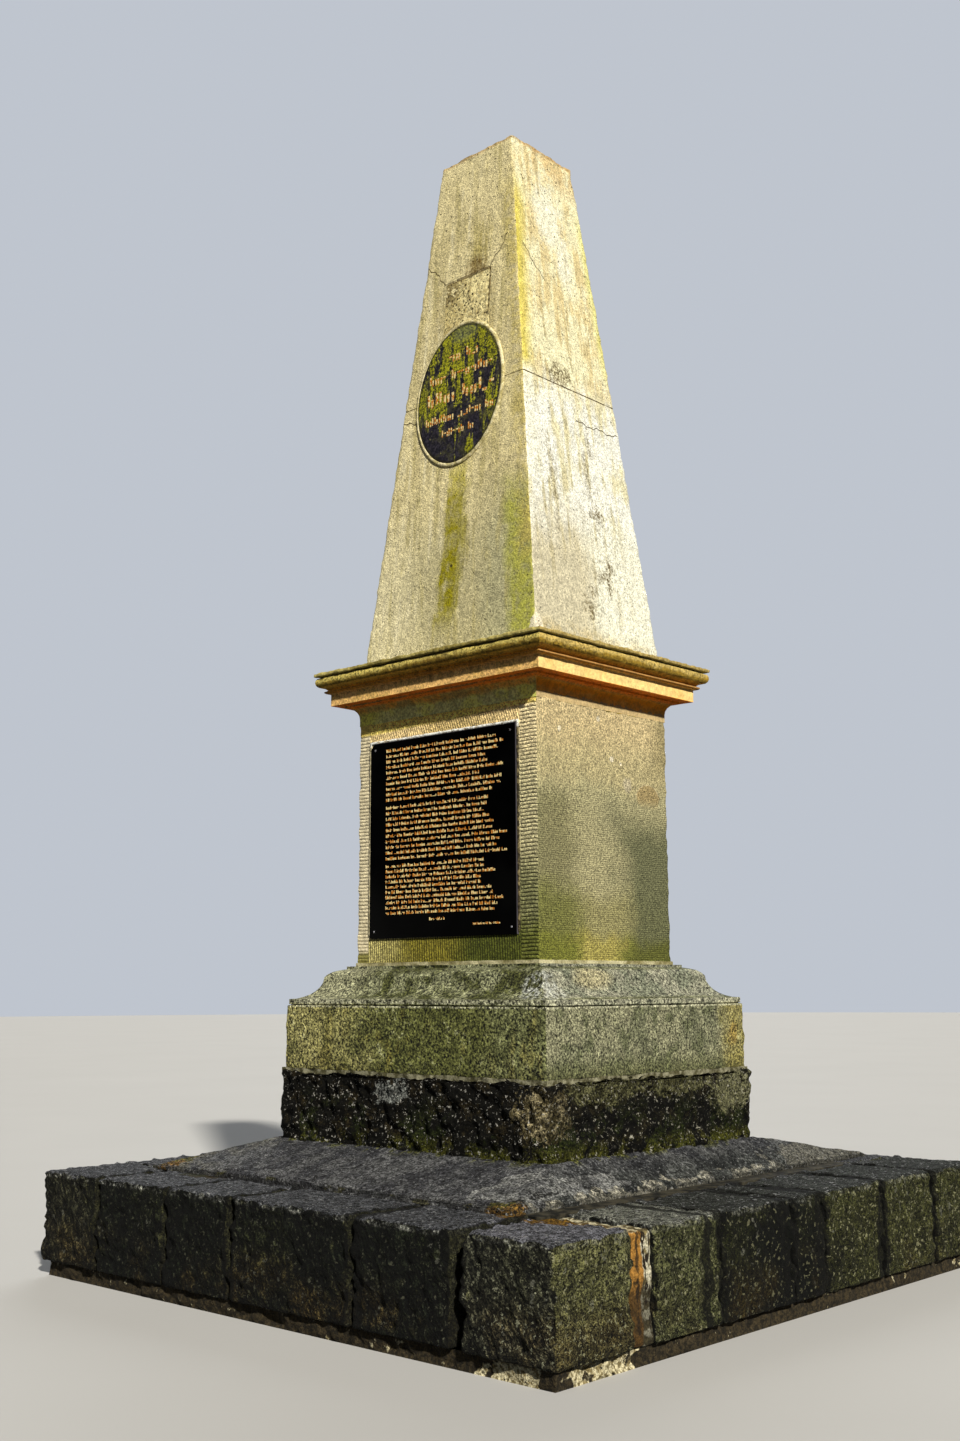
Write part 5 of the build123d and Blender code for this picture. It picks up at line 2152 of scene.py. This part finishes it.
colour = f.coats(FRONT, dark, [
    (lichen, growth * 0.9),
    ((96, 100, 72), head * 0.6),
    # painted shade: a dark rim along the edge of the oval
    ((34, 30, 14), rim.above(0.955, 0.975) * 0.8),
])
colour = f.speckle(colour, (grains, 0.35))
rough = 0.5 + growth * 0.4
plaque_look = f.surface(colour, rough, f.relief(growth * 0.6 + mottle + grains * 0.4, 0.003), 0.3)

# %% [markdown]
# A cylinder with 144 sides, scaled to an oval, gives an even rim. Its flat face is one large polygon, so we
# inset it ring by ring to have points that can be weathered.

# %% Plaque
only()
bpy.ops.mesh.primitive_cylinder_add(vertices=144, radius=1, depth=0.019, rotation=(math.pi / 2, 0, 0),
                                    location=(centre.x, 0.0025, centre.z), scale=(half_wide, half_high, 1))
plaque = bpy.context.object
plaque.name = plaque.data.name = "oval_plaque_stone"
settle()
ease(plaque, 0.003, 2, lambda a, b: a.y < -0.005 and b.y < -0.005)
pick(plaque, "FACE", lambda place, normal: normal.y < -0.99)
for count in range(13):
    bpy.ops.mesh.inset(thickness=16 * mm, use_even_offset=True)
only(plaque)
lean(plaque)
mark(plaque, "face", (points(plaque)[:, 1] < -shaft_half(points(plaque)[:, 2])[1] - 0.004).astype(float))
weather(plaque, (lumps, 0.002, "face"), (grit, 0.001, "face"))
keep(plaque, plaque_look, "black_stone", "oval_plaque")

# %% [markdown]
# The bead of mortar round it is a torus whose centre line runs 6 mm outside the oval.

# %% Mortar round the plaque
beyond = 6 * mm
only()
bpy.ops.mesh.primitive_torus_add(major_segments=220, minor_segments=14, major_radius=half_wide + beyond,
                                 minor_radius=9 * mm, rotation=(math.pi / 2, 0, 0))
ring = bpy.context.object
ring.name = ring.data.name = "plaque_bead"
ring.scale = (1, (half_high + beyond) / (half_wide + beyond), 1)
ring.location = (centre.x, 0.001, centre.z)
settle()
lean(ring)
weather(ring, (lumps, 0.005), (grit, 0.004))
ring_finish = mortar_finish("ring_finish", seen(206, 194, 152, FRONT), seen(158, 146, 96, FRONT), 0.03)
keep(ring, ring_finish, "pale_mortar", "plaque_bead_mortar", angle=60)

# %% [markdown]
# Five rows of strokes fill the plaque, each of its own height, on the leaning face.

# %% Gilt strokes on the plaque
rows = [
    (-0.090, 0.095, 4.037, 46 * mm),
    (-0.205, 0.215, 3.947, 44 * mm),
    (-0.210, 0.215, 3.840, 66 * mm),
    (-0.215, 0.215, 3.743, 36 * mm),
    (-0.105, 0.105, 3.665, 32 * mm),
]
face_proud = 7 * mm
stroke_rows("plaque_strokes", rows, lambda z: -shaft_half(z)[1] - face_proud, 0.20, 0.70, 14)

# %% [markdown]
# ## Floor
# The obelisk stands alone on a plain pale floor, which is not part of it.

# %% Floor
f = Finish("floor_finish")
colour = f.mix((184, 182, 178), (190, 188, 184), f.noise(1.5))
floor_look = f.surface(colour, 0.9)

only()
bpy.ops.mesh.primitive_circle_add(vertices=96, radius=60, fill_type="NGON")
floor = bpy.context.object
floor.name = "floor"
floor.data.materials.append(floor_look)
floor.visible_diffuse = False
print("floor radius in m", round(floor.dimensions.x / 2))
